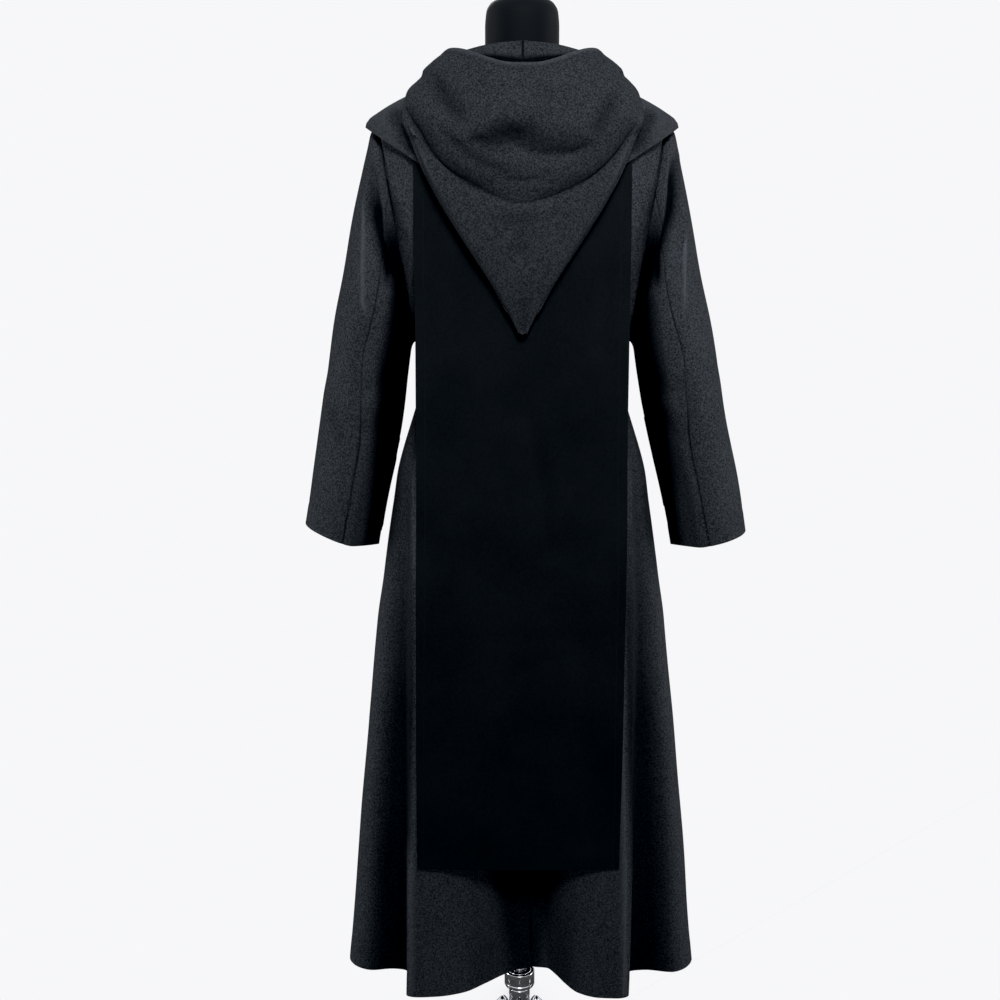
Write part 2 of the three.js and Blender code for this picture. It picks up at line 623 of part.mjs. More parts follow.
function leg(name, turn) {
  const path = new THREE.CatmullRomCurve3(LEG_PATH.map(([r, z]) => V(r, 0, z)));
  const rings = [];
  const steps = 22;
  for (let i = 0; i <= steps; i += 1) {
    const p = path.getPointAt(i / steps);
    const t = path.getTangentAt(i / steps);
    const up = V(-t.z, 0, t.x);
    rings.push(Array.from({ length: 20 }, (_, k) => {
      const a = (k * 2 * Math.PI) / 20;
      return p.clone().addScaledVector(up, LEG_R * Math.cos(a)).add(V(0, LEG_R * Math.sin(a), 0));
    }));
  }
  const turnedRings = rings.map((ring) => ring.map((p) => p.applyAxisAngle(V(0, 0, 1), turn)));
  return turned(name, turnedRings, 'chrome');
}

// ---- assembly ----
const group = new THREE.Group();
group.name = 'monk_habit_on_dress_form';

// the body's panels give way round the armhole, and the sleeves keep to its line
const armholeGap = (edge, p) => {
  const cut = p.z >= UNDERARM.z && p.z <= SHOULDER_TIP.z && ['first', 'last'].includes(edge);
  return cut && Math.abs(p.x) > 100 ? ARMHOLE_SEAM : SEAM / 2;
};
const sleeveGap = (edge) => (edge === 'top' ? 0 : 0.25);
const bodyPieces = [
  ['robe_back_left', backLeft, armholeGap],
  ['robe_back_right', backRight, armholeGap],
  ['robe_front', front, armholeGap],
  ['sleeve_left_upper', upperLeft, sleeveGap],
  ['sleeve_left_under', underLeft, sleeveGap],
  ['sleeve_right_upper', flipped(upperLeft), sleeveGap],
  ['sleeve_right_under', flipped(underLeft), sleeveGap],
];
bodyPieces.forEach(([, grid]) => note(grid, false));
bodyPieces.forEach(([name, grid, gapAt]) => group.add(cloth(name, grid, WOOL, 'wool', { gapAt })));

const scapularPieces = [
  ['scapular_back', scapularGrid(SCAPULAR_BACK, true)],
  ['scapular_front', scapularGrid(SCAPULAR_FRONT, false)],
];
scapularPieces.forEach(([, grid]) => note(grid, false));
scapularPieces.forEach(([name, grid]) => group.add(cloth(name, grid, SCAPULAR_WOOL, 'scapular')));

note(capeGrid, true);
group.add(cloth('cape', capeGrid, WOOL, 'hoodWool', { closed: true }));
note(hoodGrid, false);
group.add(cloth('hood', hoodGrid, WOOL, 'hoodWool', { zip: true }));

const bandPieces = [
  ['hood_band_left', bandGrid(1)],
  ['hood_band_right', bandGrid(-1).map((row) => row.reverse())],
];
bandPieces.forEach(([, grid]) => note(grid, false));
bandPieces.forEach(([name, grid]) => group.add(cloth(name, grid, WOOL, 'hoodWool')));

group.add(turned('form_torso', roundRings(FORM, 48, 0.9), 'form'));

const poleTop = FORM[0].z - SEAM;
const poleFoot = CUP.floor + SEAM;
group.add(lathe('stand_pole', [
  [0, poleFoot],
  [POLE_R, poleFoot],
  [POLE_R, poleTop],
  [0, poleTop],
], 'chrome'));
group.add(lathe('stand_cup', [
  [0, CUP.bottom],
  [CUP.r - 6, CUP.bottom],
  [CUP.r - 1.5, CUP.bottom + 3],
  [CUP.r, CUP.bottom + 8],
  [CUP.r, CUP.top - 2],
  [CUP.r - 1.5, CUP.top],
  [CUP.bore + 1, CUP.top],
  [CUP.bore, CUP.top - 1.5],
  [CUP.bore, CUP.floor],
  [0, CUP.floor],
], 'chrome'));
group.add(lathe('stand_hub', [
  [0, HUB.bottom],
  [HUB.r - 3, HUB.bottom],
  [HUB.r, HUB.bottom + 3],
  [HUB.r, HUB.top - 2],
  [HUB.r - 2, HUB.top],
  [0, HUB.top],
], 'chrome'));
for (let i = 0; i < 4; i += 1) {
  group.add(leg(`stand_leg_${i + 1}`, (i * Math.PI) / 2));
  const foot = lathe(`stand_foot_${i + 1}`, [
    [0, 0],
    [FOOT.r - 1.5, 0],
    [FOOT.r, 1.5],
    [FOOT.r, FOOT.top - 1.5],
    [FOOT.r - 1.5, FOOT.top],
    [0, FOOT.top],
  ], 'rubber', 32);
  foot.geometry.translate(FOOT.at * Math.cos((i * Math.PI) / 2), FOOT.at * Math.sin((i * Math.PI) / 2), 0);
  group.add(foot);
}

export default group;
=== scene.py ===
"""Monk habit on a dress form: cloth shells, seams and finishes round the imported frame.

Sizes in the tables are millimetres; the front of the garment faces -Y and +X is the wearer's left.
"""
import math

import bpy
import numpy as np
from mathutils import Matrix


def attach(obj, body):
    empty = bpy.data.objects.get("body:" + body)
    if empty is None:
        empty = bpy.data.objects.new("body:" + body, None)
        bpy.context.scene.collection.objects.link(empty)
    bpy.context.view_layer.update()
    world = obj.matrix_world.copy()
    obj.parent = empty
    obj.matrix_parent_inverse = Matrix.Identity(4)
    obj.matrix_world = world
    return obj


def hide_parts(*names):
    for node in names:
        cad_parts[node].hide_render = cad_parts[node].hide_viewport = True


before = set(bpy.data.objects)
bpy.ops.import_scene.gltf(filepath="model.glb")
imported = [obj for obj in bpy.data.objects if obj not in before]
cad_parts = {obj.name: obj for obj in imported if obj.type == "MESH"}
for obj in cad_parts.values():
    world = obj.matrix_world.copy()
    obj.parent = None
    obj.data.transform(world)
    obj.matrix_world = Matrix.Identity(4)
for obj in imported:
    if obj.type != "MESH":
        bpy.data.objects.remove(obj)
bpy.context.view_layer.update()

# ---------------------------------------------------------------- sizes
MM = 0.001
WOOL = 2.2
SCAPULAR_WOOL = 1.6
HEM_TURN = 38.0
CUFF_TURN = 34.0
FAR = 1e3

# heights of the robe's hem, its knee, hip and waist lines, the yoke and the neck edge
HEM_Z, KNEE_Z, HIP_Z, WAIST_Z, YOKE_Z, NECK_Z = 239.0, 700.0, 1050.0, 1190.0, 1571.0, 1668.0

# armhole: lowest and highest point, depth behind and before. Below SEAM_Z the side seam is at Y 0.
UNDERARM = (166.0, 12.0, 1275.0)
SHOULDER_TIP = (219.0, 0.0, 1602.0)
ARMHOLE_RISE = SHOULDER_TIP[2] - UNDERARM[2]
ARMHOLE_DEPTH = (80.0, 70.0)
SEAM_Z = 1000.0

# slow unevenness of each cloth: seed, size of its waves, how far they move the cloth
UNEVEN = {
    "robe_back_left": (3, 240, 1.1), "robe_back_right": (4, 240, 1.1), "robe_front": (5, 240, 1.1),
    "sleeve_left": (11, 170, 1.3), "sleeve_right": (12, 170, 1.3),
    "scapular_back": (25, 210, 1.4), "scapular_front": (26, 210, 1.4), "hood": (31, 110, 1.2),
}

# torso: height, half width, depth behind and before the side line
TORSO = np.array([
    (1050, 201, 112, 117), (1190, 164, 100, 106), (1275, 166, 109, 115), (1340, 172, 117, 123),
    (1440, 190, 124, 129), (1500, 200, 125, 125), (1560, 212, 120, 113), (1602, 219, 109, 97),
    (1618, 192, 103, 91), (1632, 164, 97, 86), (1648, 126, 90, 81), (1668, 80, 80, 74),
], float)

# skirt folds: share of the way round, then X and Y at the hip, knee and hem
BACK_LEFT = np.array([
    (0.000, 0, 109, -8, 110, -20, 106), (0.109, 23, 110, 16, 117, 4, 112),
    (0.217, 47, 112, 40, 129, 30, 131), (0.326, 73, 113, 68, 142, 58, 158),
    (0.435, 101, 113, 98, 152, 92, 187), (0.548, 131, 112, 133, 158, 134, 200),
    (0.630, 154, 109, 161, 157, 165, 202), (0.687, 171, 101, 177, 150, 184, 195),
    (0.726, 175, 92, 179, 128, 185, 158), (0.765, 180, 84, 184, 106, 189, 117),
    (0.813, 187, 78, 199, 103, 214, 111), (0.861, 194, 69, 220, 97, 246, 116),
    (0.904, 199, 52, 236, 81, 275, 101), (0.952, 201, 28, 245, 47, 288, 68),
    (1.000, 200, 2, 246, 0, 285, 0),
], float)
BACK_RIGHT = BACK_LEFT.copy()
BACK_RIGHT[:, 5:] = [
    (20, 106), (43, 109), (58, 130), (72, 158), (92, 188), (125, 204), (155, 206), (173, 197),
    (175, 160), (180, 119), (209, 114), (250, 122), (278, 104), (290, 70), (286, 0),
]
FRONT = np.array([
    (0.00, 0, 117, 0, 146, 0, 178), (0.13, 46, 118, 52, 149, 55, 185),
    (0.27, 93, 117, 105, 152, 114, 194), (0.40, 133, 112, 148, 144, 160, 176),
    (0.52, 158, 101, 181, 122, 196, 144), (0.64, 179, 86, 210, 110, 230, 138),
    (0.76, 193, 62, 236, 82, 270, 106), (0.88, 200, 30, 247, 40, 287, 50),
    (1.00, 200, -2, 246, 0, 285, 0),
], float)

# sleeve rings from the shoulder: outer X and Z, inner X and Z, middle Y, depth behind, before, seam shift
SLEEVE = np.array([
    (232, 1597, 173, 1270, 8, 88, 78, 12), (241, 1566, 177, 1262, 10, 87, 78, 19),
    (252, 1520, 179, 1250, 12, 85, 77, 22), (267, 1453, 181, 1235, 13, 82, 75, 23),
    (281, 1383, 184, 1212, 14, 79, 73, 20), (296, 1312, 188, 1180, 15, 77, 72, 17),
    (308, 1241, 195, 1137, 16, 75, 70, 22), (321, 1168, 205, 1090, 17, 73, 69, 29),
    (333, 1094, 216, 1042, 18, 71, 68, 29), (345, 1025, 227, 992, 19, 70, 67, 29),
    (355, 967, 237, 943, 20, 69, 66, 29),
], float)

# scapular: height, half width, drift, distance out at the middle and at the edges. At the shoulder it has
# an even half width, and lies this far above the robe and, at the top, above the shoulder seam.
SCAPULAR_HALF = 164
SCAPULAR_ABOVE = 7.6
SCAPULAR_PEAK = 9.5
SCAPULAR_BACK = np.array([
    (455, 160, 5, 197, 191), (700, 163, 3, 167, 162), (900, 164, 1, 145, 139),
    (1050, 164, 0, 131, 120), (1190, 164, 0, 124, 108), (1320, 164, 0, 125, 106),
    (1440, 164, 0, 128, 106), (1530, 164, 0, 127, 104),
], float)
SCAPULAR_FRONT = np.array([
    (455, 162, 0, 186, 180), (700, 163, 0, 162, 150), (900, 164, 0, 141, 129),
    (1050, 164, 0, 129, 112), (1190, 164, 0, 126, 104), (1320, 164, 0, 131, 103),
    (1440, 164, 0, 133, 100), (1530, 164, 0, 126, 94),
], float)

# cape rings from the neck: half width, depth behind and before, height at side, back, front
CAPE = np.array([
    (89, 93, 87, 1684, 1683, 1679), (118, 102, 96, 1673, 1667, 1660),
    (152, 113, 107, 1660, 1642, 1632), (187, 125, 118, 1645, 1608, 1596),
    (219, 132.5, 130, 1627, 1560, 1545), (239, 134, 137, 1612, 1505, 1488),
    (242, 135, 139, 1602, 1446, 1425),
], float)

# hood rows, opening to tip: half width, Y of outer wall, inner wall, side fold, throat,
# degrees round from the back, then Z of outer wall, inner wall, side fold, throat
HOOD = np.array([
    (119, 140, 100, 10, -114, 174, 1688, 1690, 1712, 1692),
    (139, 153, 113, 16, -118, 172, 1650, 1660, 1696, 1674),
    (151, 163, 124, 24, -121, 164, 1614, 1636, 1684, 1661),
    (153, 169, 132, 32, -121, 140, 1580, 1614, 1676, 1667),
    (161, 172, 137, 42, -112, 112, 1552, 1591, 1667, 1667),
    (173, 171, 139, 62, -60, 93, 1524, 1567, 1649, 1649),
    (178, 168, 141, 94, 90, 90, 1492, 1535, 1612, 1612),
    (167, 171, 142, 110, 110, 90, 1468, 1508, 1585, 1585),
    (149, 170, 142, 125, 125, 90, 1425, 1468, 1541, 1541),
    (120, 167.5, 142, 133, 133, 90, 1388, 1426, 1486, 1486),
    (82, 162, 142, 137, 137, 90, 1356, 1382, 1426, 1426),
    (41, 155, 141, 139, 139, 90, 1325, 1337, 1362, 1362),
    (7, 146, 139, 141, 141, 90, 1294, 1295, 1297, 1297),
], float)

# space between the hood's two walls before the neck
HOOD_GAP = 7.0

# neck band rings, neck seam up over the turned edge and down inside the hood
BAND = np.array([
    (89.4, 93.4, 87.4, 1684.6, 1683.6, 1679.6), (87, 78, 84, 1696, 1702, 1686),
    (88, 67, 86, 1710, 1720, 1696), (92, 70, 90, 1714, 1724, 1700),
    (97, 76, 94, 1711, 1717, 1698), (102, 84, 93, 1707, 1700, 1694),
    (107, 92, 96, 1703, 1684, 1690),
], float)

# dress form: height, half width, depth behind and before
FORM = np.array([
    (890, 168, 100, 106), (940, 173, 103, 108), (1010, 172, 104, 108), (1090, 160, 97, 103),
    (1170, 147, 88, 94), (1220, 146, 90, 96), (1300, 152, 100, 108), (1380, 158, 108, 118),
    (1440, 163, 111, 120), (1500, 172, 112, 114), (1550, 186, 108, 103), (1582, 196, 103, 93),
    (1600, 196, 98, 86), (1614, 188, 92, 80), (1628, 165.4, 86, 75), (1644, 126, 78, 70),
    (1655, 92, 69, 65), (1672, 63, 60, 59), (1700, 57, 58, 57), (1750, 57, 57, 57),
    (1774, 55, 55, 55), (1788, 47, 47, 47), (1796, 32, 32, 32),
], float)


# ---------------------------------------------------------------- working with tables and grids
# A grid is rows x columns x 4: a point in millimetres and its painted shading, from 0 to 1 the painted shade
# of a fold, seam or recess, and down to -1 a painted highlight. Columns and rows run so that their cross
# product points out of the cloth's outer face.
def eased(at, rows, x):
    """Values between table rows: a cubic through them whose slope is the harmonic mean of its neighbours',
    so it never overshoots."""
    at, rows = np.asarray(at, float), np.asarray(rows, float)
    x = np.clip(np.asarray(x, float), at[0], at[-1])
    wide = (1,) * (rows.ndim - 1)
    rise = np.diff(rows, axis=0) / np.diff(at).reshape((-1,) + wide)
    a, b = rise[:-1], rise[1:]
    both = a + b
    middle = np.where(a * b > 0, 2 * a * b / np.where(both == 0, 1, both), 0)
    slope = np.concatenate([rise[:1], middle, rise[-1:]])
    i = np.clip(np.searchsorted(at, x, side="right") - 1, 0, len(at) - 2)
    h = (at[i + 1] - at[i]).reshape(x.shape + wide)
    t = (x - at[i]).reshape(x.shape + wide) / h
    s = t * t * (3 - 2 * t)
    bend = (t - 2 * t * t + t ** 3) * slope[i] + (t ** 3 - t * t) * slope[i + 1]
    return rows[i] + (rows[i + 1] - rows[i]) * s + h * bend


def smooth(low, high, x):
    """0 below low, 1 above high, and an even S between."""
    t = np.clip((np.asarray(x, float) - low) / (high - low), 0, 1)
    return t * t * (3 - 2 * t)


def bell(gap, width):
    """1 on a line and falling off on both sides of it, as exp(-(gap / width) ** 2)."""
    return np.exp(-(gap / width) ** 2)


def squared(wave):
    """A sine or cosine drawn out towards 1, so that a ring made of them is a little square."""
    return np.sign(wave) * np.abs(wave) ** 0.9


def edged(count, near=(0.002, 0.005, 0.009)):
    """Even steps from 0 to 1 with closer ones by each end, where a seam or hem turns."""
    near = np.array(near)
    even = np.linspace(near[-1] * 1.7, 1 - near[-1] * 1.7, count)
    return np.concatenate([[0], near, even, 1 - near[::-1], [1]])


def cloth(points):
    """A grid of points with nothing yet in a fold."""
    return np.concatenate([points, np.zeros(points.shape[:2] + (1,))], -1)


def mirrored(grid):
    """The other side's grid: X turned over and the columns in reverse, so it still faces out."""
    out = grid[:, ::-1].copy()
    out[..., 0] *= -1
    return out


def outward(grid, closed=False):
    """Unit normals of a grid: the cross product of its two slopes."""
    p = grid[..., :3]
    across = np.roll(p, -1, axis=1) - np.roll(p, 1, axis=1) if closed else np.gradient(p, axis=1)
    n = np.cross(across, np.gradient(p, axis=0))
    return n / np.maximum(np.linalg.norm(n, axis=2, keepdims=True), 1e-9)


def pushed(grid, move, closed=False):
    """The grid with its points moved out along their normals."""
    out = grid.copy()
    out[..., :3] += outward(grid, closed) * move[..., None]
    return out


def paint_shade(grid, depth):
    """The grid with its painted shade raised to at least this."""
    out = grid.copy()
    out[..., 3] = np.where(depth > 0.02, np.clip(np.maximum(out[..., 3], depth), 0, 1), out[..., 3])
    return out


def paint_highlight(grid, amount):
    """The grid with a painted highlight, less where it has a little painted shade and none where it has
    much.
    """
    out = grid.copy()
    out[..., 3] -= amount * smooth(0.3, 0.1, out[..., 3])
    return out


def run(grid, axis):
    """Distance along the cloth from the first row or column."""
    step = np.linalg.norm(np.diff(grid[..., :3], axis=axis), axis=2)
    total = np.cumsum(step, axis=axis)
    return np.concatenate([np.zeros_like(np.take(total, [0], axis=axis)), total], axis=axis)


def from_last_row(grid):
    """Distance along the cloth from its last row."""
    return run(grid[::-1], 0)[::-1]


def nearest(grid, path):
    """Signed distance to a smooth line through the path's points, seen along Y, and the line's strength
    there. Above the line is positive where the path runs towards -X. A path without strengths fades over
    its ends."""
    path = np.array(path, float)
    count = 6 * len(path)
    line = eased(np.arange(len(path)), path, np.linspace(0, len(path) - 1, count))
    a, d = line[:-1, :2], np.diff(line[:, :2], axis=0)
    rel = grid[..., [0, 2]][..., None, :] - a
    t = np.clip((rel * d).sum(-1) / np.maximum((d * d).sum(-1), 1e-9), 0, 1)
    gap = np.linalg.norm(rel - t[..., None] * d, axis=-1)
    best = gap.argmin(-1)[..., None]
    pick = lambda m: np.take_along_axis(m, best, -1)[..., 0]
    side = pick(rel[..., 1] * -d[:, 0] + rel[..., 0] * d[:, 1])
    along = (best[..., 0] + pick(t)) / len(a)
    if path.shape[1] > 2:
        strength = np.interp(along, np.linspace(0, 1, count), line[:, 2])
    else:
        strength = smooth(0, 0.2, along) * smooth(0, 0.2, 1 - along)
    return np.where(side >= 0, 1, -1) * pick(gap), strength


def waved(grid, folds, closed=False, only=1.0):
    """Soft troughs and ridges: each point moves out by height * exp(-(distance / width) ** 2) from the
    fold's line. A trough also gets painted shade, at its full strength from 10 mm deep, and a ridge less
    than
    6 mm wide gets a painted highlight."""
    for height, width, path in folds:
        gap, strength = nearest(grid, path)
        share = strength * bell(gap, width) * only
        grid = pushed(grid, height * share, closed)
        if height < 0:
            grid = paint_shade(grid, np.minimum(0.94, share * -height / 11))
        elif width < 6:
            grid = paint_highlight(grid, 0.12 * height * share)
    return grid


def tucked(grid, folds, closed=False, only=1.0):
    """Tucks: the cloth above the line bulges over it as a quarter of an ellipse, depth by above, and the
    cloth below rises again as exp(-distance / below). Painted shade lies along the line, fading up over the
    bulge."""
    for depth, above, below, path in folds:
        gap, strength = nearest(grid, path)
        over = 1 - np.sqrt(np.clip(1 - np.clip(1 - gap / above, 0, 1) ** 2, 0, 1))
        under = np.exp(np.minimum(gap, 0) / below)
        grid = pushed(grid, -depth * strength * only * np.where(gap >= 0, over, under), closed)
        # painted shade along the tuck's line, fading up over the bulge and quickly below it
        shade = np.where(gap >= 0, np.exp(-gap / (above * 0.42)), np.exp(gap / 2.2))
        grid = paint_shade(grid, min(0.75, depth / 12) * strength * only * shade)
    return grid


def uneven(grid, seed, size, amount, closed=False, only=1.0):
    """A slow waviness of hand-made cloth: seven crossed sine waves of about that size, their sum divided by
    about the square root of seven."""
    rng = np.random.default_rng(seed)
    move = np.zeros(grid.shape[:2])
    for _ in range(7):
        way = rng.normal(size=3)
        way *= 2 * np.pi / (size * rng.uniform(0.7, 1.8)) / np.linalg.norm(way)
        move += np.sin(grid[..., :3] @ way + rng.uniform(0, 6.3))
    return pushed(grid, amount * move / 2.6 * only, closed)


def seamed(grid, sides, depth=1.5, width=2.6):
    """Rolls the named edges in towards their seam by depth * exp(-(distance / width) ** 2), and paints
    shade along the seam, stronger and fainter in turn along it. Sides are left, right, top and bottom by
    their first letters."""
    u, v = run(grid, 1), run(grid, 0)
    far = np.full(grid.shape[:2], FAR)
    for side, gap in (("l", u), ("r", u[:, -1:] - u), ("b", v), ("t", v[-1:] - v)):
        if side in sides:
            far = np.minimum(far, gap)
    faint = 0.62 + 0.3 * np.sin(v / 95 + 1.3) * np.sin(v / 37)
    return paint_shade(pushed(grid, -depth * bell(far, width)), faint * bell(far, 1.7))


def joined(one, two, rows=slice(None)):
    """Sews two edges: both take the points half way between them."""
    one[rows, :3] = two[rows, :3] = (one[rows, :3] + two[rows, :3]) / 2


def hemmed(grid, up, turn=HEM_TURN):
    """A hem turned up and pressed: a faint step at the top of the turning, up being the distance from the
    edge."""
    return pushed(grid, 0.35 * smooth(turn + 3, turn - 3, up) - 0.4 * bell(up - turn, 3.5))


def grid_faces(rows, cols, closed):
    """The four-cornered faces between a grid's neighbouring points, a closed grid's last column joined to
    its first."""
    r, c = np.meshgrid(np.arange(rows - 1), np.arange(cols if closed else cols - 1), indexing="ij")
    a, b = r * cols + c, r * cols + (c + 1) % cols
    return np.stack([a, b, b + cols, a + cols], -1).reshape(-1, 4).tolist()


def placed(name, data):
    """An object in the scene for a mesh, a light or a camera."""
    made = bpy.data.objects.new(name, data)
    bpy.context.scene.collection.objects.link(made)
    return made


def meshed(name, points, faces, material):
    """An object in the scene from points in millimetres and faces, shaded smooth."""
    mesh = bpy.data.meshes.new(name)
    mesh.from_pydata((points * MM).tolist(), [], faces)
    mesh.polygons.foreach_set("use_smooth", np.ones(len(mesh.polygons), bool))
    mesh.materials.append(material)
    return placed(name, mesh)


def surface(name, grid, material, closed=False, wall=WOOL, round_edge=0.7):
    """A cloth piece through a grid, with a UV map of real distances in metres and its painted shade and
    highlight as an attribute. Its wall is added inwards, with rounded cut edges."""
    rows, cols = grid.shape[:2]
    piece = meshed(name, grid[..., :3].reshape(-1, 3), grid_faces(rows, cols, closed), material)
    mesh = piece.data
    u, v = run(grid, 1), run(grid, 0)
    middle = u[:, cols // 2][:, None]
    flat = np.stack([(u - middle).ravel(), v.ravel()], -1) * MM
    loops = np.zeros(len(mesh.loops), np.int32)
    mesh.loops.foreach_get("vertex_index", loops)
    layer = mesh.uv_layers.new(name="Cloth")
    layer.data.foreach_set("uv", flat[loops].astype(np.float32).ravel())
    # painted shade above 0 and painted highlight below 0, one value a point
    depth = mesh.attributes.new("Hollow", "FLOAT", "POINT")
    depth.data.foreach_set("value", grid[..., 3].astype(np.float32).ravel())
    thick = piece.modifiers.new("wall", "SOLIDIFY")
    thick.thickness = wall * MM
    thick.offset = -1
    round_off = piece.modifiers.new("edges", "BEVEL")
    round_off.width = round_edge * MM
    round_off.segments = 2
    round_off.limit_method = "ANGLE"
    round_off.angle_limit = math.radians(62)
    return piece


def fit(piece, node):
    """Puts a finished piece on the frame's root in place of its plain solid, which it hides."""
    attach(piece, "root")
    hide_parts(node)


# ---------------------------------------------------------------- finishes
def wire(tree, node, **given):
    """Sets a node's sockets, each to a value or to another node's output. A socket goes by its name, with _
    for a space, or by _ and its number."""
    for key, value in given.items():
        socket = node.inputs[int(key[1:])] if key[0] == "_" else node.inputs[key.replace("_", " ")]
        if isinstance(value, bpy.types.NodeSocket):
            tree.links.new(value, socket)
        else:
            socket.default_value = value


def put(tree, kind, **given):
    """Adds a node. A name that is one of its settings takes a value, and any other is a socket."""
    made = tree.nodes.new(kind)
    settings = [key for key in given if hasattr(made, key)]
    for key in settings:
        setattr(made, key, given.pop(key))
    wire(tree, made, **given)
    return made


def group(name, inputs, outputs):
    """An empty effect group with named inputs and outputs."""
    tree = bpy.data.node_groups.new(name, "ShaderNodeTree")
    for label, kind, value in inputs:
        socket = tree.interface.new_socket(name=label, in_out="INPUT", socket_type=kind)
        socket.default_value = value
    for label, kind in outputs:
        tree.interface.new_socket(name=label, in_out="OUTPUT", socket_type=kind)
    return tree, tree.nodes.new("NodeGroupInput").outputs, tree.nodes.new("NodeGroupOutput").inputs


def maths(tree, operation, a, b=0.5, c=0.5):
    """The result of a mathematical operation on one to three values."""
    return put(tree, "ShaderNodeMath", operation=operation, _0=a, _1=b, _2=c).outputs[0]


def ranged(tree, value, low, high, at_low, at_high, **given):
    """A value's range from low to high carried over to at_low to at_high."""
    made = put(tree, "ShaderNodeMapRange", Value=value, _1=low, _2=high, _3=at_low, _4=at_high, **given)
    return made.outputs[0]


def noise(tree, place, scale, detail, **given):
    """Cloudy noise, 0 to 1."""
    return put(tree, "ShaderNodeTexNoise", Vector=place, Scale=scale, Detail=detail, **given).outputs[0]


def blend(tree, share, one, two):
    """A colour that share of the way from one to two."""
    return put(tree, "ShaderNodeMix", data_type="RGBA", _0=share, _6=one, _7=two).outputs[2]


def bump(tree, height, strength, distance):
    """A normal bent by a height."""
    return put(tree, "ShaderNodeBump", Height=height, Strength=strength, Distance=distance).outputs[0]


def felted_melange():
    """Felted wool of mixed fibres: flecks of a few millimetres, fibres finer still and slow shade changes,
    as colour and nap height. Painted shade above 0 darkens it and a painted highlight below 0 makes it
    paler."""
    tree, given, out = group("Felted melange", [
        ("Dark", "NodeSocketColor", (0.01, 0.01, 0.01, 1)), ("Light", "NodeSocketColor", (0.1, 0.1, 0.1, 1)),
        ("Fleck Scale", "NodeSocketFloat", 230.0), ("Contrast", "NodeSocketFloat", 2.4),
        ("Shade", "NodeSocketFloat", 0.12), ("Hollow", "NodeSocketFloat", 0.0),
    ], [("Color", "NodeSocketColor"), ("Height", "NodeSocketFloat"), ("Roughness", "NodeSocketFloat")])
    place = put(tree, "ShaderNodeTexCoord").outputs["Object"]
    fleck = noise(tree, place, given["Fleck Scale"], 3.0, Roughness=0.62)
    fine_scale = maths(tree, "MULTIPLY", given["Fleck Scale"], 3.4)
    fibre = noise(tree, place, fine_scale, 2.0, Roughness=0.6, Distortion=1.2)
    slow = noise(tree, place, 11.0, 2.0)
    mixed = maths(tree, "MULTIPLY_ADD", fibre, 0.45, maths(tree, "MULTIPLY", fleck, 0.55))
    spread = maths(tree, "MULTIPLY_ADD", maths(tree, "SUBTRACT", mixed, 0.5), given["Contrast"], 0.42)
    shade = maths(tree, "MULTIPLY_ADD", maths(tree, "SUBTRACT", slow, 0.5), given["Shade"], spread)
    share = put(tree, "ShaderNodeClamp", Value=shade).outputs[0]
    colour = blend(tree, share, given["Dark"], given["Light"])
    # painted shade: towards near black as far as the painted shading is above 0
    deep = blend(tree, given["Hollow"], colour, (0.0012, 0.0016, 0.0022, 1))
    # painted highlight: below 0, towards twice the light colour
    highlight_share = put(tree, "ShaderNodeClamp", Value=maths(tree, "MULTIPLY", given["Hollow"], -1.0)).outputs[0]
    highlight_colour = put(tree, "ShaderNodeVectorMath", operation="SCALE", Vector=given["Light"], Scale=2.0)
    tree.links.new(blend(tree, highlight_share, deep, highlight_colour.outputs[0]), out["Color"])
    tree.links.new(mixed, out["Height"])
    tree.links.new(maths(tree, "MULTIPLY_ADD", mixed, -0.12, 0.98), out["Roughness"])
    return tree


def plain_weave():
    """Fine cloth: warp and weft threads as two crossed waves over the cloth's own distances, with slubs.
    Thread is a thread's repeat in millimetres."""
    tree, given, out = group("Plain weave", [
        ("Thread", "NodeSocketFloat", 1.1), ("Slub", "NodeSocketFloat", 0.5),
    ], [("Height", "NodeSocketFloat")])
    uv = put(tree, "ShaderNodeUVMap", uv_map="Cloth").outputs[0]
    split = put(tree, "ShaderNodeSeparateXYZ", Vector=uv).outputs
    # a full turn over each thread, the map being in metres and the thread in millimetres
    per = maths(tree, "DIVIDE", 6283.0, given["Thread"])
    warp = maths(tree, "SINE", maths(tree, "MULTIPLY", split[0], per))
    weft = maths(tree, "SINE", maths(tree, "MULTIPLY", split[1], per))
    crossed = maths(tree, "MULTIPLY_ADD", maths(tree, "MULTIPLY", warp, weft), 0.5, 0.5)
    stretched = put(tree, "ShaderNodeMapping", Vector=uv, Scale=(900.0, 60.0, 1.0)).outputs[0]
    slub = noise(tree, stretched, 1.0, 2.0)
    tree.links.new(maths(tree, "MULTIPLY_ADD", slub, given["Slub"], crossed), out["Height"])
    return tree


def stitch_line():
    """A row of stitches on each side, at a distance from the middle of the cloth: a mask of dashes and the
    groove they pull."""
    tree, given, out = group("Stitch line", [
        ("From Middle", "NodeSocketFloat", 0.15), ("Pitch", "NodeSocketFloat", 0.0036),
    ], [("Thread", "NodeSocketFloat"), ("Groove", "NodeSocketFloat")])
    uv = put(tree, "ShaderNodeUVMap", uv_map="Cloth").outputs[0]
    split = put(tree, "ShaderNodeSeparateXYZ", Vector=uv).outputs
    out_from_middle = maths(tree, "ABSOLUTE", split[0])
    off = maths(tree, "ABSOLUTE", maths(tree, "SUBTRACT", out_from_middle, given["From Middle"]))
    near = ranged(tree, off, 0.0003, 0.0009, 1.0, 0.0, interpolation_type="SMOOTHSTEP")
    groove = ranged(tree, off, 0.0, 0.003, 1.0, 0.0, interpolation_type="SMOOTHSTEP")
    stitch = maths(tree, "FRACT", maths(tree, "DIVIDE", split[1], given["Pitch"]))
    dash = maths(tree, "LESS_THAN", stitch, 0.78)
    tree.links.new(maths(tree, "MULTIPLY", near, dash), out["Thread"])
    tree.links.new(groove, out["Groove"])
    return tree


EFFECTS = {"melange": felted_melange(), "weave": plain_weave(), "stitches": stitch_line()}


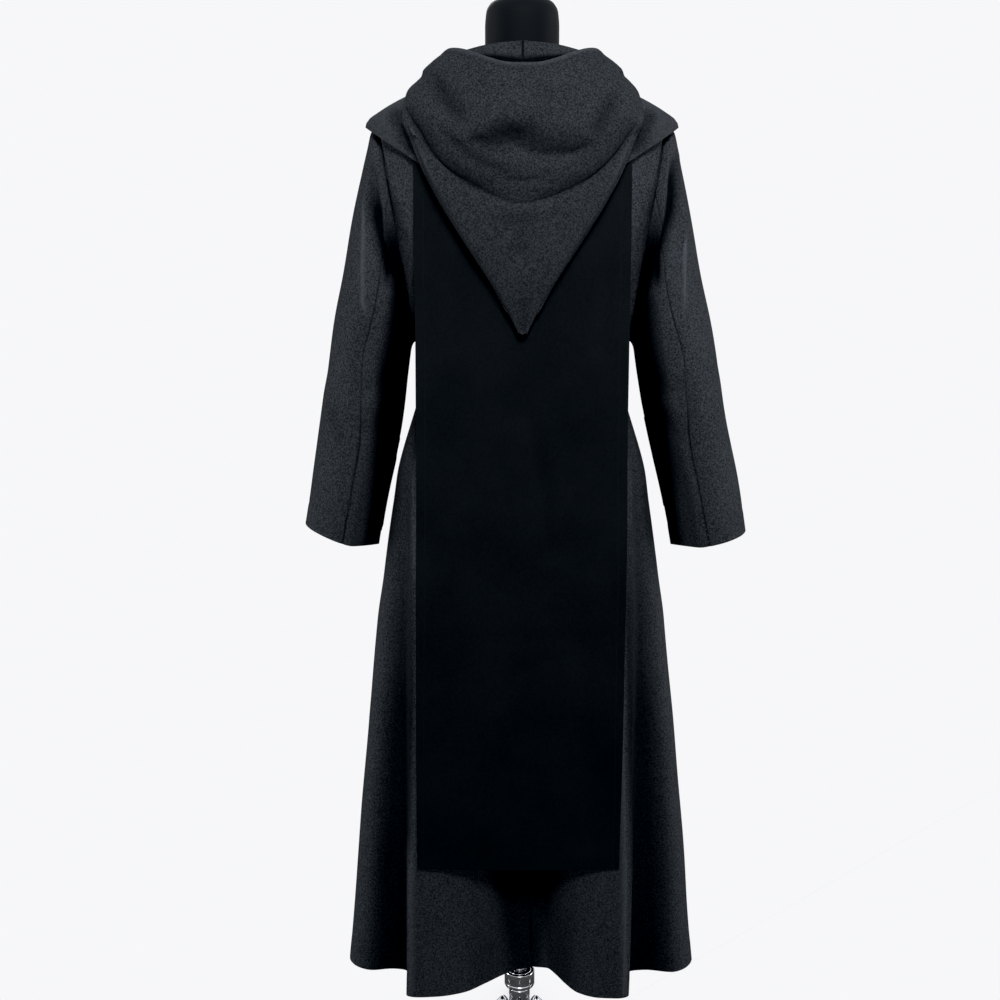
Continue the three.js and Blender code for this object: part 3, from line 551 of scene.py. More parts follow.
def finish(name):
    """A new material, its node tree and its shader."""
    material = bpy.data.materials.new(name)
    material.use_nodes = True
    tree = material.node_tree
    return material, tree, tree.nodes["Principled BSDF"]


def effect(tree, name, **given):
    """An effect group placed in a material with its own values."""
    return put(tree, "ShaderNodeGroup", node_tree=EFFECTS[name], **given).outputs


def wool_finish(name, dark, light, shade=0.3):
    """Felted wool with a soft nap, with painted shade in folds, seams and recesses and painted highlights on
    narrow ridges and edges.
    """
    material, tree, shader = finish(name)
    painted = put(tree, "ShaderNodeAttribute", attribute_name="Hollow").outputs["Fac"]
    wool = effect(tree, "melange", Dark=dark + (1,), Light=light + (1,), Fleck_Scale=400.0, Contrast=6.5,
                  Shade=shade, Hollow=painted)
    wire(tree, shader, Base_Color=wool["Color"], Roughness=wool["Roughness"],
         Normal=bump(tree, wool["Height"], 0.55, 0.0006), Specular_IOR_Level=0.0,
         Sheen_Weight=0.01, Sheen_Roughness=0.55, Sheen_Tint=(0.75, 0.82, 0.92, 1))
    return material


def scapular_finish():
    """Fine black cloth in plain weave, with a line of stitches along each edge."""
    material, tree, shader = finish("black scapular cloth")
    wool = effect(tree, "melange", Dark=(0.0042, 0.0050, 0.0058, 1), Light=(0.0115, 0.0135, 0.0155, 1),
                  Fleck_Scale=260.0, Contrast=1.5, Shade=0.6)
    weave = effect(tree, "weave", Thread=1.2, Slub=0.6)
    line = effect(tree, "stitches", From_Middle=0.151, Pitch=0.0036)
    tall = maths(tree, "SUBTRACT", weave["Height"], maths(tree, "MULTIPLY", line["Groove"], 2.2))
    wire(tree, shader, Base_Color=blend(tree, line["Thread"], wool["Color"], (0.0085, 0.0105, 0.013, 1)),
         Roughness=wool["Roughness"], Normal=bump(tree, tall, 0.4, 0.0004), Specular_IOR_Level=0.0,
         Sheen_Weight=0.02, Sheen_Roughness=0.5)
    return material


def form_finish():
    """The form's tight black cover, with a faint melange."""
    material, tree, shader = finish("black jersey over the form")
    wool = effect(tree, "melange", Dark=(0.0016, 0.0022, 0.0031, 1), Light=(0.0038, 0.0048, 0.0064, 1),
                  Fleck_Scale=420.0, Contrast=1.2, Shade=0.5)
    wire(tree, shader, Base_Color=wool["Color"], Normal=bump(tree, wool["Height"], 0.25, 0.0003),
         Roughness=0.62, Specular_IOR_Level=0.05, Sheen_Weight=0.02)
    return material


def metal_finish():
    """Chrome plate, smeared a little by hands."""
    material, tree, shader = finish("polished chrome")
    smear = noise(tree, put(tree, "ShaderNodeTexCoord").outputs["Object"], 38.0, 4.0)
    wire(tree, shader, Base_Color=blend(tree, smear, (0.62, 0.64, 0.67, 1), (0.74, 0.76, 0.79, 1)),
         Roughness=ranged(tree, smear, 0.3, 0.75, 0.08, 0.24), Metallic=1.0)
    return material


def rubber_finish():
    """Moulded black rubber with a fine grain."""
    material, tree, shader = finish("black rubber feet")
    grain = noise(tree, put(tree, "ShaderNodeTexCoord").outputs["Object"], 600.0, 3.0)
    wire(tree, shader, Base_Color=blend(tree, grain, (0.008, 0.008, 0.009, 1), (0.03, 0.03, 0.032, 1)),
         Normal=bump(tree, grain, 0.3, 0.0003), Roughness=0.7)
    return material


ROBE_WOOL = wool_finish("charcoal robe wool", (0.0115, 0.0134, 0.0160), (0.0555, 0.0612, 0.0705))
HOOD_WOOL = wool_finish("charcoal hood wool", (0.0092, 0.0107, 0.0128), (0.0440, 0.0485, 0.0558), shade=0.2)
SCAPULAR_CLOTH = scapular_finish()
FORM_COVER = form_finish()
CHROME = metal_finish()
RUBBER = rubber_finish()


# ---------------------------------------------------------------- robe body
def torso_half(z):
    """Half the upper body's width at a height."""
    return eased(TORSO[:, 0], TORSO[:, 1], z)


def torso_depth(z, behind):
    """How far the upper body's middle line lies behind or before the side line at a height."""
    return eased(TORSO[:, 0], TORSO[:, 2 if behind else 3], z) * (1 if behind else -1)


def torso_powers(flat):
    """Powers of the sine and cosine of the body's rounded quarter, which is flatter beside an armhole."""
    return 0.85 + 0.15 * flat, 0.85 + 0.95 * flat


def armhole(z, behind):
    """The robe's edge at a height: the side seam below the arm, half an oval across the armhole, the
    shoulder seam above. It comes with how flat the body is there, 1 beside the armhole and fading over 70
    mm to its ends."""
    z = np.asarray(z, float)
    t = np.clip((z - UNDERARM[2]) / ARMHOLE_RISE, 0, 1)
    across = np.sqrt(np.maximum(0, 1 - (2 * t - 1) ** 2)) ** 0.85
    inside = (z > UNDERARM[2]) & (z < SHOULDER_TIP[2])
    x = np.where(inside, UNDERARM[0] + (SHOULDER_TIP[0] - UNDERARM[0]) * t ** 1.15, torso_half(z))
    depth = ARMHOLE_DEPTH[0] if behind else -ARMHOLE_DEPTH[1]
    drift = UNDERARM[1] * np.clip((z - SEAM_Z) / (UNDERARM[2] - SEAM_Z), 0, 1)
    y = np.where(inside, UNDERARM[1] * (1 - t) + depth * across, np.where(z >= SHOULDER_TIP[2], 0, drift))
    flat = np.where(inside, np.clip(np.minimum(z - UNDERARM[2], SHOULDER_TIP[2] - z) / 70, 0, 1), 0)
    return x, y, flat


def torso(share, z, behind):
    """Points of the upper body: a rounded quarter from the middle to the robe's edge at each height, by
    powers of the sine and cosine."""
    x, y, flat = (v[:, None] for v in armhole(z, behind))
    deep = torso_depth(z, behind)[:, None]
    a = share[None, :] * np.pi / 2
    wide, round_off = torso_powers(flat)
    px = x * np.sin(a) ** wide
    py = y + (deep - y) * np.maximum(0, np.cos(a)) ** round_off
    return np.stack([px, np.where(share[None, :] >= 1, y, py), np.broadcast_to(z[:, None], px.shape)], -1)


def skirt(folds, share, z, behind):
    """Points below the waist: fold lines run from hem to knee, hip and waist, and the cloth is a smooth
    curve across them."""
    waist = torso(folds[:, 0], np.array([WAIST_Z]), behind)[0, :, :2]
    sign = np.array([1, 1 if behind else -1])
    stops = np.stack([folds[:, 5:7] * sign, folds[:, 3:5] * sign, folds[:, 1:3] * sign, waist])
    lines = eased([HEM_Z, KNEE_Z, HIP_Z, WAIST_Z], stops, z)
    across = eased(folds[:, 0], np.moveaxis(lines, 1, 0), share)
    level = np.broadcast_to(z[None, :, None], across.shape[:2] + (1,))
    return np.moveaxis(np.concatenate([across, level], -1), 0, 1)


# heights of the body's rows: closer at the hem, and by a cosine along the armhole
BODY_Z = np.concatenate([
    [HEM_Z, HEM_Z + 1, HEM_Z + 3, HEM_Z + 6],
    np.linspace(HEM_Z + 10, UNDERARM[2] - 8, 122),
    UNDERARM[2] + ARMHOLE_RISE * ((1 - np.cos(np.linspace(0, np.pi, 45))) / 2),
    np.linspace(SHOULDER_TIP[2] + 6, NECK_Z, 10),
])


def half_body(folds, share, behind):
    """One side of the body from the middle out to its edge."""
    low = BODY_Z < WAIST_Z
    lower, upper = skirt(folds, share, BODY_Z[low], behind), torso(share, BODY_Z[~low], behind)
    return cloth(np.concatenate([lower, upper]))


def other_side(folds):
    """Fold lines turned over to the wearer's right, still running the same way."""
    return [(*size, [(-p[0], *p[1:]) for p in path][::-1]) for *size, path in folds]


# soft folds of the wearer's left: height, width, and the line in X and Z
BACK_BODY_FOLDS = [
    (-4.0, 10, [(186, 1470), (176, 1420), (168, 1360), (162, 1300)]),
    (3.0, 12, [(196, 1530), (178, 1450), (170, 1370), (165, 1290)]),
    (-3.5, 13, [(172, 1262), (150, 1240), (120, 1232)]),
    (-3.0, 12, [(172, 1215), (150, 1190), (110, 1180)]),
    (-2.0, 13, [(198, 1080), (203, 900), (214, 740)]),
    (2.4, 14, [(222, 900), (236, 700), (254, 420)]),
]
FRONT_BODY_FOLDS = [
    (-3.6, 12, [(182, 1450), (170, 1400), (160, 1330)]),
    (-3.0, 14, [(168, 1262), (140, 1240), (105, 1236)]),
    (-3.4, 12, [(176, 1215), (150, 1180), (120, 1150)]),
    (2.6, 18, [(150, 1000), (170, 800), (185, 520)]),
    (-3.0, 18, [(40, 900), (30, 600), (28, 300)]),
]

# the crisp outer edge of each lobe, narrow enough to get a painted highlight: height, width, and the line in
# X and Z with its strength
LEFT_LOBE_FOLD = (1.6, 4, [
    (162, 1060, 0), (166, 960, 0.7), (168, 860, 0.2), (170, 600, 0), (173, 430, 1), (175, 246, 1)])
RIGHT_LOBE_FOLD = (2.6, 4, [
    (-163, 246, 1), (-162, 460, 1), (-156, 737, 1), (-155, 900, 0.7), (-158, 1040, 0)])

# heights, and how far from the middle the outer edge of each lobe is there, where painted shade beside it
# begins; the hollow between them, where painted shade is centred, is at HOLLOW_X
LOBE_Z = (300, 450, 500, 720, 860, 1000)
LEFT_LOBE_EDGE = (178, 177, 169, 162, 163, 169)
RIGHT_LOBE_EDGE = (165, 164, 163, 158, 156, 161)
HOLLOW_X = -8


def shaded_back(grid, lobe_edge):
    """Painted shade on the back's deep places, where little light comes: the hollow in the middle of the
    skirt, the cloth beside its two lobes, deepest by the lobe's edge and less towards the side, and the
    cloth under the arms."""
    x, z = np.abs(grid[..., 0] - HOLLOW_X), grid[..., 2]
    wide = 20 + 0.17 * (z - 250)
    centre = 0.7 * smooth(wide + 24, wide - 10, x) * smooth(760, 600, z)
    edge = np.interp(z, LOBE_Z, lobe_edge)
    side = np.abs(grid[..., 0]).max(axis=1, keepdims=True)
    beyond = (np.abs(grid[..., 0]) - edge) / np.maximum(side - edge, 8)
    # strength of the painted shade beside the lobes, by height
    depth = np.interp(z, [700, 860, 1000, 1090], [0.8, 0.6, 0.3, 0])
    valley = depth * smooth(0.02, 0.14, beyond) * smooth(0.94, 0.4, beyond)
    from_seam = run(grid, 1)
    from_seam = np.minimum(from_seam, from_seam[:, -1:] - from_seam)
    from_seam = np.where(x < 120, FAR, from_seam)
    under = 0.8 * bell(from_seam, 15) * smooth(1230, 1290, z) * smooth(1530, 1470, z)
    return paint_shade(grid, np.maximum(np.maximum(centre, valley), under))


share = edged(88)
left = waved(half_body(BACK_LEFT, share, True)[:, ::-1], BACK_BODY_FOLDS + [LEFT_LOBE_FOLD])
left = uneven(left, *UNEVEN["robe_back_left"])
right = mirrored(half_body(BACK_RIGHT, share, True)[:, ::-1])
right = waved(right, other_side(BACK_BODY_FOLDS) + [RIGHT_LOBE_FOLD])
right = uneven(right, *UNEVEN["robe_back_right"])
below_arm = BODY_Z < UNDERARM[2]
right[below_arm, -1, :3] = left[below_arm, 0, :3] * np.array([-1, 1, 1])
left[:, -1] = right[:, 0] = (left[:, -1] + right[:, 0]) / 2
half = half_body(FRONT, edged(78), False)
front = np.concatenate([mirrored(half), half[:, 1:]], axis=1)
front = uneven(waved(front, FRONT_BODY_FOLDS + other_side(FRONT_BODY_FOLDS)), *UNEVEN["robe_front"])
front[below_arm, -1] = left[below_arm, 0]
front[below_arm, 0] = right[below_arm, -1]
left = seamed(hemmed(shaded_back(left, LEFT_LOBE_EDGE), run(left, 0)), "lrt")
right = seamed(hemmed(shaded_back(right, RIGHT_LOBE_EDGE), run(right, 0)), "lrt")
front = seamed(hemmed(front, run(front, 0)), "lrt")
sewn = below_arm | (BODY_Z >= SHOULDER_TIP[2])
joined(left[:, -1], right[:, 0])
joined(left[:, 0], front[:, -1], sewn)
joined(right[:, -1], front[:, 0], sewn)
for node, name, grid in (
    ("robe_back_left", "robe_back_panel_left", left),
    ("robe_back_right", "robe_back_panel_right", right),
    ("robe_front", "robe_front_panel", front),
):
    fit(surface(name, grid, ROBE_WOOL), node)


# ---------------------------------------------------------------- sleeves
# A sleeve's columns are in sixteenths of a turn, from the outer line round by the back. The upper piece
# comes before the hind seam and the under piece after it, each half a turn wide.
HALF_TURN = 8
HIND_SEAM = 3
PANEL = edged(54, (0.003, 0.008, 0.014))
ARM_COLUMNS = HIND_SEAM - HALF_TURN + HALF_TURN * np.concatenate([PANEL, 1 + PANEL])

# rows of a sleeve in steps of its table, the armhole being 0, closer by the armhole and the cuff
ARM_ROWS = np.concatenate([np.linspace(0, 1, 14)[:-1], np.linspace(1, 10.7, 118), [10.8, 10.9, 10.96, 11]])


def sleeve(shift, lift, hidden):
    """A sleeve of the wearer's left: rings from the armhole to the cuff. Behind and before, the arm side of
    each ring is cut off by a straight line from the inner point to where the cosine is the turn, with a
    rounded corner. Towards the cuff it moves out by shift and up by lift. The face turned to the body gets
    painted shade, from the cosine hidden at the elbow, and so do the armpit and the armhole's seam."""
    k = ARM_COLUMNS
    after = np.maximum(0, (HALF_TURN - k) / (HALF_TURN - HIND_SEAM))
    weight = np.where(k <= HIND_SEAM, np.maximum(k, 0) / HIND_SEAM, after)
    a = np.radians(k[None, :] * (180 / HALF_TURN) + SLEEVE[:, 7:8] * weight)
    c, s = np.cos(a), np.sin(a)

    def cut(turn, soft):
        """The sine's size, kept under the straight line by a smooth minimum."""
        line = np.sqrt(1 - turn ** 2) * (1 + c) / (1 + turn)
        return (np.abs(s) + line - np.sqrt((np.abs(s) - line) ** 2 + (soft * smooth(-1, -0.7, c)) ** 2)) / 2

    s = np.where(s > 0, cut(-0.34, 0.07), -cut(-0.62, 0.12))
    ox, oz, ix, iz, y, back, fore = (SLEEVE[:, i:i + 1] for i in range(7))
    rings = np.stack([
        (ox + ix) / 2 + (ox - ix) / 2 * c,
        y + np.where(s > 0, back, fore) * s,
        (oz + iz) / 2 + (oz - iz) / 2 * c,
    ], -1)
    turn = k * np.pi / HALF_TURN
    z = UNDERARM[2] + ARMHOLE_RISE * (1 + np.cos(turn)) / 2
    bx, by, _ = armhole(z, True)
    fx, fy, _ = armhole(z, False)
    start = np.stack([np.where(np.sin(turn) >= 0, bx, fx), np.where(np.sin(turn) >= 0, by, fy), z], -1)
    rows = eased(np.arange(1 + len(SLEEVE)), np.concatenate([start[None], rings]), ARM_ROWS)
    down = smooth(1500, 950, rows[..., 2])
    rows[..., 0] += shift * down ** 1.5
    rows[..., 2] += lift * down ** 2 * smooth(240, 350, rows[..., 0])
    rows = cloth(rows)
    z = rows[..., 2]
    turned_at = hidden - 0.26 * smooth(1130, 980, z)
    inner = smooth(turned_at + 0.12, turned_at - 0.34, np.cos(turn)[None, :]) * smooth(1500, 1400, z)
    along, behind = run(rows, 0), smooth(0, 40, rows[..., 1])
    armpit = smooth(84, 26, along) * smooth(1505, 1420, z) * behind
    seam = 0.9 * bell(along, 6) * smooth(1600, 1550, z) * behind
    # painted shade on the face turned to the body, in the armpit and along the armhole's seam
    rows[..., 3] = 0.96 * np.maximum(inner, np.maximum(armpit, seam))
    return rows[:, ::-1]


# soft folds behind the arm only, and those that go on round it: height, width, line in X and Z, here and
# there with its strength. Troughs get painted shade and the narrow ridges a painted highlight.
SLEEVE_FOLDS = {"left": ([
    (-15.0, 11, [
        (233, 1540, 0), (230, 1515, 0.3), (228, 1492, 0.6), (221, 1462, 1), (211, 1430, 1), (203, 1395, 0.9),
        (198, 1350, 0)]),
    (5.0, 10, [(210, 1475, 0), (203, 1440, 1), (192, 1400, 1), (184, 1350, 0)]),
    (3.0, 3.5, [(238, 1535), (241, 1480), (243, 1400), (244, 1330), (245, 1260)]),
    (-3.0, 9, [(228, 1560, 0), (225, 1525, 1), (223, 1490, 0.8), (220, 1450, 0)]),
    (-2.4, 9, [(250, 1340, 0), (255, 1265, 1), (262, 1190, 0.6), (268, 1130, 0)]),
], [
    (-2.0, 13, [(196, 1240), (225, 1215), (262, 1205)]),
    (1.6, 12, [(198, 1205), (225, 1180), (268, 1172)]),
    (-1.6, 12, [(206, 1165), (232, 1145), (262, 1140)]),
    (-2.2, 11, [(300, 1180), (290, 1140), (272, 1115)]),
    (1.8, 14, [(308, 1230), (312, 1120), (318, 1020)]),
]), "right": ([
    (-15.0, 10, [
        (-199, 1350, 0), (-199, 1395, 1), (-213, 1444, 1), (-227, 1477, 1), (-232, 1507, 1),
        (-233, 1537, 0.6), (-234, 1560, 0)]),
    (5.0, 10, [(-184, 1350, 0), (-190, 1400, 1), (-201, 1440, 1), (-211, 1480, 0)]),
    (3.0, 3.5, [(-250, 1310), (-247, 1430), (-241, 1545)]),
    (-2.0, 9, [(-236, 1400, 0), (-240, 1480, 1), (-238, 1540, 0)]),
    (-1.6, 12, [(-272, 1060, 0), (-262, 1160, 1), (-252, 1260, 0)]),
], [
    (-1.8, 13, [(-262, 1204), (-228, 1208), (-196, 1228)]),
    (1.6, 13, [(-266, 1168), (-228, 1176), (-200, 1196)]),
    (-1.4, 12, [(-266, 1130), (-236, 1138), (-210, 1160)]),
    (1.8, 14, [(-322, 1030), (-314, 1130), (-306, 1240)]),
])}
for word, shift, lift, hidden in (("left", -6, 13, 0.06), ("right", 8, 2, -0.12)):
    grid = sleeve(shift, lift, hidden)
    if word == "right":
        grid = mirrored(grid)
    folds_behind, folds_round = SLEEVE_FOLDS[word]
    grid = waved(grid, folds_behind, only=smooth(0, 30, grid[..., 1]))
    grid = uneven(waved(grid, folds_round), *UNEVEN[f"sleeve_{word}"])
    grid = hemmed(grid, from_last_row(grid), CUFF_TURN)
    one, two = (seamed(part, "lrb") for part in np.split(grid, 2, axis=1))
    joined(one[:, -1], two[:, 0])
    joined(one[:, 0], two[:, -1])
    for part, panel in zip(("upper", "under"), (two, one) if word == "left" else (one, two)):
        fit(surface(f"sleeve_panel_{part}_{word}", panel, ROBE_WOOL), f"sleeve_{word}_{part}")


# ---------------------------------------------------------------- scapular
def torso_out(x, z, behind):
    """How far out the robe is at a distance from the middle and a height."""
    ex, ey, flat = armhole(z, behind)
    wide, round_off = torso_powers(flat)
    a = np.arcsin(np.minimum(1, x / ex) ** (1 / wide))
    return ey + (torso_depth(z, behind) - ey) * np.maximum(0, np.cos(a)) ** round_off


def scapular(table, behind):
    """A scapular panel: rows hang from the yoke down, bowed from the middle to the edges by the square of
    the distance, and go over the shoulder at an even height above the robe, found by halving."""
    sign = 1 if behind else -1
    share = 1 - np.concatenate([[0, 0.004, 0.012, 0.025, 0.04], np.linspace(0.06, 1, 42)])
    z = np.concatenate([[455, 456, 458.5, 462, 468, 474], np.linspace(482, 1522, 124)])
    half, drift, mid, edge = (eased(table[:, 0], table[:, i], z)[:, None] for i in range(1, 5))
    y = sign * (mid - (mid - edge) * share ** 2)
    low = np.stack(np.broadcast_arrays(half * share, y, z[:, None]), -1)
    x = SCAPULAR_HALF * share
    rise = np.linspace(0, 1, 14)[:, None]
    begin = torso_out(x, np.full_like(x, YOKE_Z), behind)
    neck = torso_half(NECK_Z)
    end = np.where(x < neck, torso_out(np.minimum(x, neck), np.full_like(x, NECK_Z), behind), 0)
    y = begin + (end - begin) * rise
    bottom, top = np.full(y.shape, YOKE_Z), np.full(y.shape, NECK_Z)
    wide = np.broadcast_to(x, y.shape)
    for _ in range(32):
        guess = (bottom + top) / 2
        beyond = (torso_half(guess) < wide) & (guess > SHOULDER_TIP[2])
        high = beyond | (np.abs(torso_out(wide, guess, behind)) < np.abs(y))
        bottom, top = np.where(high, bottom, guess), np.where(high, guess, top)
    peak = (wide >= neck) & (rise >= 1)
    y = np.where(peak, 0, y + sign * SCAPULAR_ABOVE)
    over = np.stack([wide, y, bottom + np.where(peak, SCAPULAR_PEAK, SCAPULAR_ABOVE)], -1)
    side = cloth(np.concatenate([low, over]))
    grid = np.concatenate([side, mirrored(side)[:, 1:]], axis=1)
    grid[:len(z), :, 0] += drift
    return grid if behind else grid[:, ::-1]


# soft folds of the two panels: height, width, and the line in X and Z
SCAPULAR_BACK_FOLDS = [
    (-4.0, 14, [(-10, 1200), (-24, 1105), (-41, 1010), (-48, 930)]),
    (2.5, 16, [(30, 1180), (20, 1060), (8, 920)]),
    (-1.2, 5, [(155, 824), (0, 822), (-155, 824)]),
    (-3.2, 20, [(110, 800), (118, 640), (120, 470)]),
    (-3.4, 20, [(-95, 860), (-108, 680), (-115, 470)]),
    (2.8, 22, [(60, 760), (58, 600), (60, 465)]),
    (-2.4, 16, [(120, 1420), (128, 1330), (120, 1240)]),
    (-2.4, 16, [(-125, 1400), (-130, 1320), (-120, 1240)]),
]
SCAPULAR_FRONT_FOLDS = [
    (-3.6, 16, [(25, 1150), (32, 1000), (28, 850)]),
    (-1.2, 5, [(155, 830), (0, 828), (-155, 830)]),
    (-3.2, 20, [(100, 780), (110, 620), (112, 465)]),
    (-3.2, 20, [(-100, 820), (-108, 660), (-112, 465)]),
    (2.6, 22, [(-30, 760), (-34, 600), (-36, 465)]),
]
for word, table, folds in (
    ("back", SCAPULAR_BACK, SCAPULAR_BACK_FOLDS),
    ("front", SCAPULAR_FRONT, SCAPULAR_FRONT_FOLDS),
):
    grid = scapular(table, word == "back")
    calm = smooth(1540, 1400, grid[..., 2])
    grid = uneven(waved(grid, folds, only=calm), *UNEVEN[f"scapular_{word}"], only=calm)
    piece = surface(f"scapular_{word}_panel", grid, SCAPULAR_CLOTH, wall=SCAPULAR_WOOL, round_edge=0.5)
    fit(piece, f"scapular_{word}")


# ---------------------------------------------------------------- cape, hood and band
def rings(table, degrees):
    """Level rings round the neck, one a table row: half width by the sine, depth by the cosine, both a
    little squared."""
    half, back, fore, side, z_back, z_fore = (table[:, i:i + 1] for i in range(6))
    turn = np.radians(degrees)[None, :]
    s, c = squared(np.sin(turn)), squared(np.cos(turn))
    end = np.where(c > 0, z_back, z_fore)
    return cloth(np.stack([half * s, np.where(c > 0, back, fore) * c, end + (side - end) * np.abs(s)], -1))


# soft folds of the cape behind: height, width, and the line in X and Z
CAPE_FOLDS = [
    (-5.0, 11, [(196, 1632), (186, 1606), (172, 1578), (160, 1556)]),
    (-5.0, 11, [(-162, 1556), (-174, 1578), (-186, 1606), (-196, 1632)]),
    (2.5, 16, [(218, 1618), (200, 1594), (180, 1572)]),
    (2.5, 16, [(-180, 1572), (-200, 1594), (-218, 1618)]),
]

# slow waves of the cape's lower edge: height, how many go round, where they start
CAPE_WAVES = [(1.8, 3, 0.6), (1.3, 5, 2.0), (1.0, 8, 1.0)]
degrees = np.arange(0, 360, 2.0)
cape_at = np.concatenate([np.linspace(0, 5.7, 50), [5.78, 5.86, 5.92, 5.96, 6.0]])
cape = rings(eased(np.arange(len(CAPE)), CAPE, cape_at), degrees)
cape = waved(cape, CAPE_FOLDS, closed=True, only=smooth(-20, 30, cape[..., 1]))
swell = sum(height * np.sin(count * np.radians(degrees) + start) for height, count, start in CAPE_WAVES)
swell = np.maximum(swell, -1.5) * smooth(2.5, 6, cape_at)[:, None] * smooth(60, 130, np.abs(cape[..., 1]))
cape = pushed(cape, swell, True)
up = from_last_row(cape)
cape = pushed(cape, 0.8 * smooth(11, 6, up) - 0.5 * bell(up - 12, 2.5), True)
# painted highlight over the whole cape, which makes it a little paler than the hood
cape = paint_highlight(cape, 0.15)
fit(surface("shoulder_cape", cape, HOOD_WOOL, closed=True), "cape")


def hood(at, f):
    """The hood laid back: each row runs from the middle of its outer wall round to the side fold, on its
    inner wall back to the middle, and likewise on the other side. f is the share of the way from the middle
    to the fold. Rows near the opening reach on past the neck to the throat. Width goes by the sine and
    depth by the cosine of the turn, each to a power."""
    rows = eased(np.arange(len(HOOD)), HOOD, at)
    half, out, mid, side, throat, reach, z_out, z_in, z_side, z_fore = (rows[:, i:i + 1] for i in range(10))
    near_rim = 1 - smooth(0, 2.5, at)[:, None]

    def wall(f, inner):
        """Half of one wall, from the middle to the side fold, or on to the throat near the opening."""
        a = np.radians(f[None, :] * reach)
        s, c = np.abs(np.sin(a)) ** 0.95, np.abs(np.cos(a))
        near, level, power, gap = out, z_out, 0.7, 0
        if inner:
            near, level, power = mid, z_in, 0.8
            gap = HOOD_GAP * np.clip((reach - 90) / 60, 0, 1) * (1 - smooth(0.8, 1, f[None, :]))
        behind = a <= np.pi / 2
        y = np.where(behind, side + (near - side) * c ** power, side + (throat + gap - side) * c ** 0.9)
        lift = s ** 1.5 + (smooth(0.12, 0.92, s) - s ** 1.5) * near_rim
        z = np.where(behind, level + (z_side - level) * lift, z_side + (z_fore - z_side) * c)
        return np.stack([(half - gap) * s, y, z], -1)

    quarter = cloth(np.concatenate([wall(f[:-1], True), wall(f[::-1], False)], axis=1))[:, ::-1]
    return np.concatenate([quarter, mirrored(quarter)[:, 1:-1]], axis=1)


# tucks of the hood, from the wearer's left to right: depth, width above and below, line in X and Z with its
# strength
HOOD_TUCKS = [
    (11.0, 26, 15, [
        (176, 1628, 0), (172, 1618, 0.6), (159, 1598, 1), (141, 1571, 1), (112, 1541, 1), (75, 1517, 0.9),
        (36, 1498, 0.55), (4, 1489, 0.3), (-34, 1497, 0.6), (-71, 1513, 0.85), (-106, 1531, 1),
        (-135, 1556, 1), (-158, 1587, 0.9), (-172, 1610, 0)]),
    (8.0, 13, 12, [(84, 1574, 0), (63, 1578, 1), (38, 1582, 1), (21, 1590, 0.8), (4, 1604, 0)]),
    (9.0, 28, 10, [
        (24, 1583, 0), (-5, 1568, 0.8), (-34, 1562, 1), (-66, 1561, 1), (-92, 1569, 0.6), (-114, 1577, 0)]),
    (4.0, 8, 8, [(52, 1516, 0), (31, 1521, 0.8), (2, 1522, 1), (-21, 1524, 0.7), (-38, 1525, 0)]),
]

# soft folds of the hood: height, width, line in X and Z with its strength. Troughs get painted shade and the
# two narrow ridges by the side folds a painted highlight.
HOOD_FOLDS = [
    (6.0, 20, [
        (158, 1650, 0), (134, 1608, 0.8), (100, 1590, 1), (60, 1596, 1), (20, 1614, 1), (-20, 1614, 1),
        (-50, 1594, 1), (-92, 1592, 1), (-126, 1606, 0.8), (-152, 1645, 0)]),
    (-7.5, 16, [
        (84, 1572, 0), (52, 1577, 0.7), (22, 1588, 1), (2, 1587, 0.95), (-24, 1574, 0.7), (-70, 1564, 0)]),
    (1.5, 12, [(80, 1553, 0), (30, 1546, 1), (-20, 1545, 1), (-80, 1548, 0)]),
    (-5.0, 11, [(136, 1680, 0), (123, 1655, 1), (108, 1633, 1), (92, 1616, 0.8), (74, 1598, 0)]),
    (-4.8, 11, [(-98, 1580, 0), (-110, 1600, 1), (-124, 1628, 1), (-138, 1658, 0)]),
    (-1.8, 9, [(-20, 1668, 0), (-30, 1642, 1), (-27, 1617, 1), (-12, 1597, 0)]),
    (-4.0, 8, [(136, 1612, 0), (104, 1578, 0.9), (63, 1547, 1), (31, 1533, 0.6), (8, 1526, 0)]),
    (2.0, 9, [(48, 1494, 0), (17, 1482, 1), (-14, 1482, 1), (-60, 1490, 0)]),
    (-2.4, 12, [(10, 1475, 0), (3, 1440, 1), (0, 1400, 0)]),
    (-1.6, 9, [(70, 1468, 0), (20, 1461, 1), (-40, 1464, 0)]),
    (-2.0, 5, [(-1, 1372, 0), (-1, 1335, 1), (-1, 1300, 1)]),
    (1.5, 4, [(176, 1622, 0), (168, 1594, 1), (158, 1568, 1), (146, 1545, 0.8), (120, 1500, 0)]),
    (1.5, 4, [(-120, 1500, 0), (-147, 1545, 0.8), (-159, 1568, 1), (-170, 1594, 1), (-177, 1622, 0)]),
]
hood_at = np.concatenate([
    [0, 0.03, 0.07, 0.12], np.linspace(0.2, 4.9, 56), np.linspace(4.95, 8, 74), np.linspace(8.08, 11.8, 44),
    [11.88, 11.95, 12],
])
hood_share = np.sin(np.linspace(0, np.pi / 2, 60)) ** 0.9
grid = hood(hood_at, hood_share)

# the folds are on the outer wall behind the neck, and fade over a few columns at the side fold
count, fade = len(hood_share), 4
outer = np.zeros(grid.shape[1])
outer[:count - fade] = 1
outer[grid.shape[1] - count + fade + 1:] = 1
outer = np.concatenate([outer[-fade:], outer, outer[:fade]])
outer = np.convolve(outer, np.ones(2 * fade + 1) / (2 * fade + 1), "valid")[None, :]
outer = outer * smooth(40, 90, grid[..., 1])
grid = waved(grid, HOOD_FOLDS, True, outer)
grid = tucked(grid, HOOD_TUCKS, True, outer)
rim = run(grid, 0)
# a painted highlight along the rim, which is also rolled out
grid = paint_highlight(grid, 0.25 * smooth(8, 2, rim) * outer)
grid = pushed(grid, 2.2 * smooth(9, 4, rim) * outer - 0.8 * bell(rim - 11, 3) * outer, True)
grid = uneven(grid, *UNEVEN["hood"], True, outer * smooth(0.2, 1.2, hood_at)[:, None])

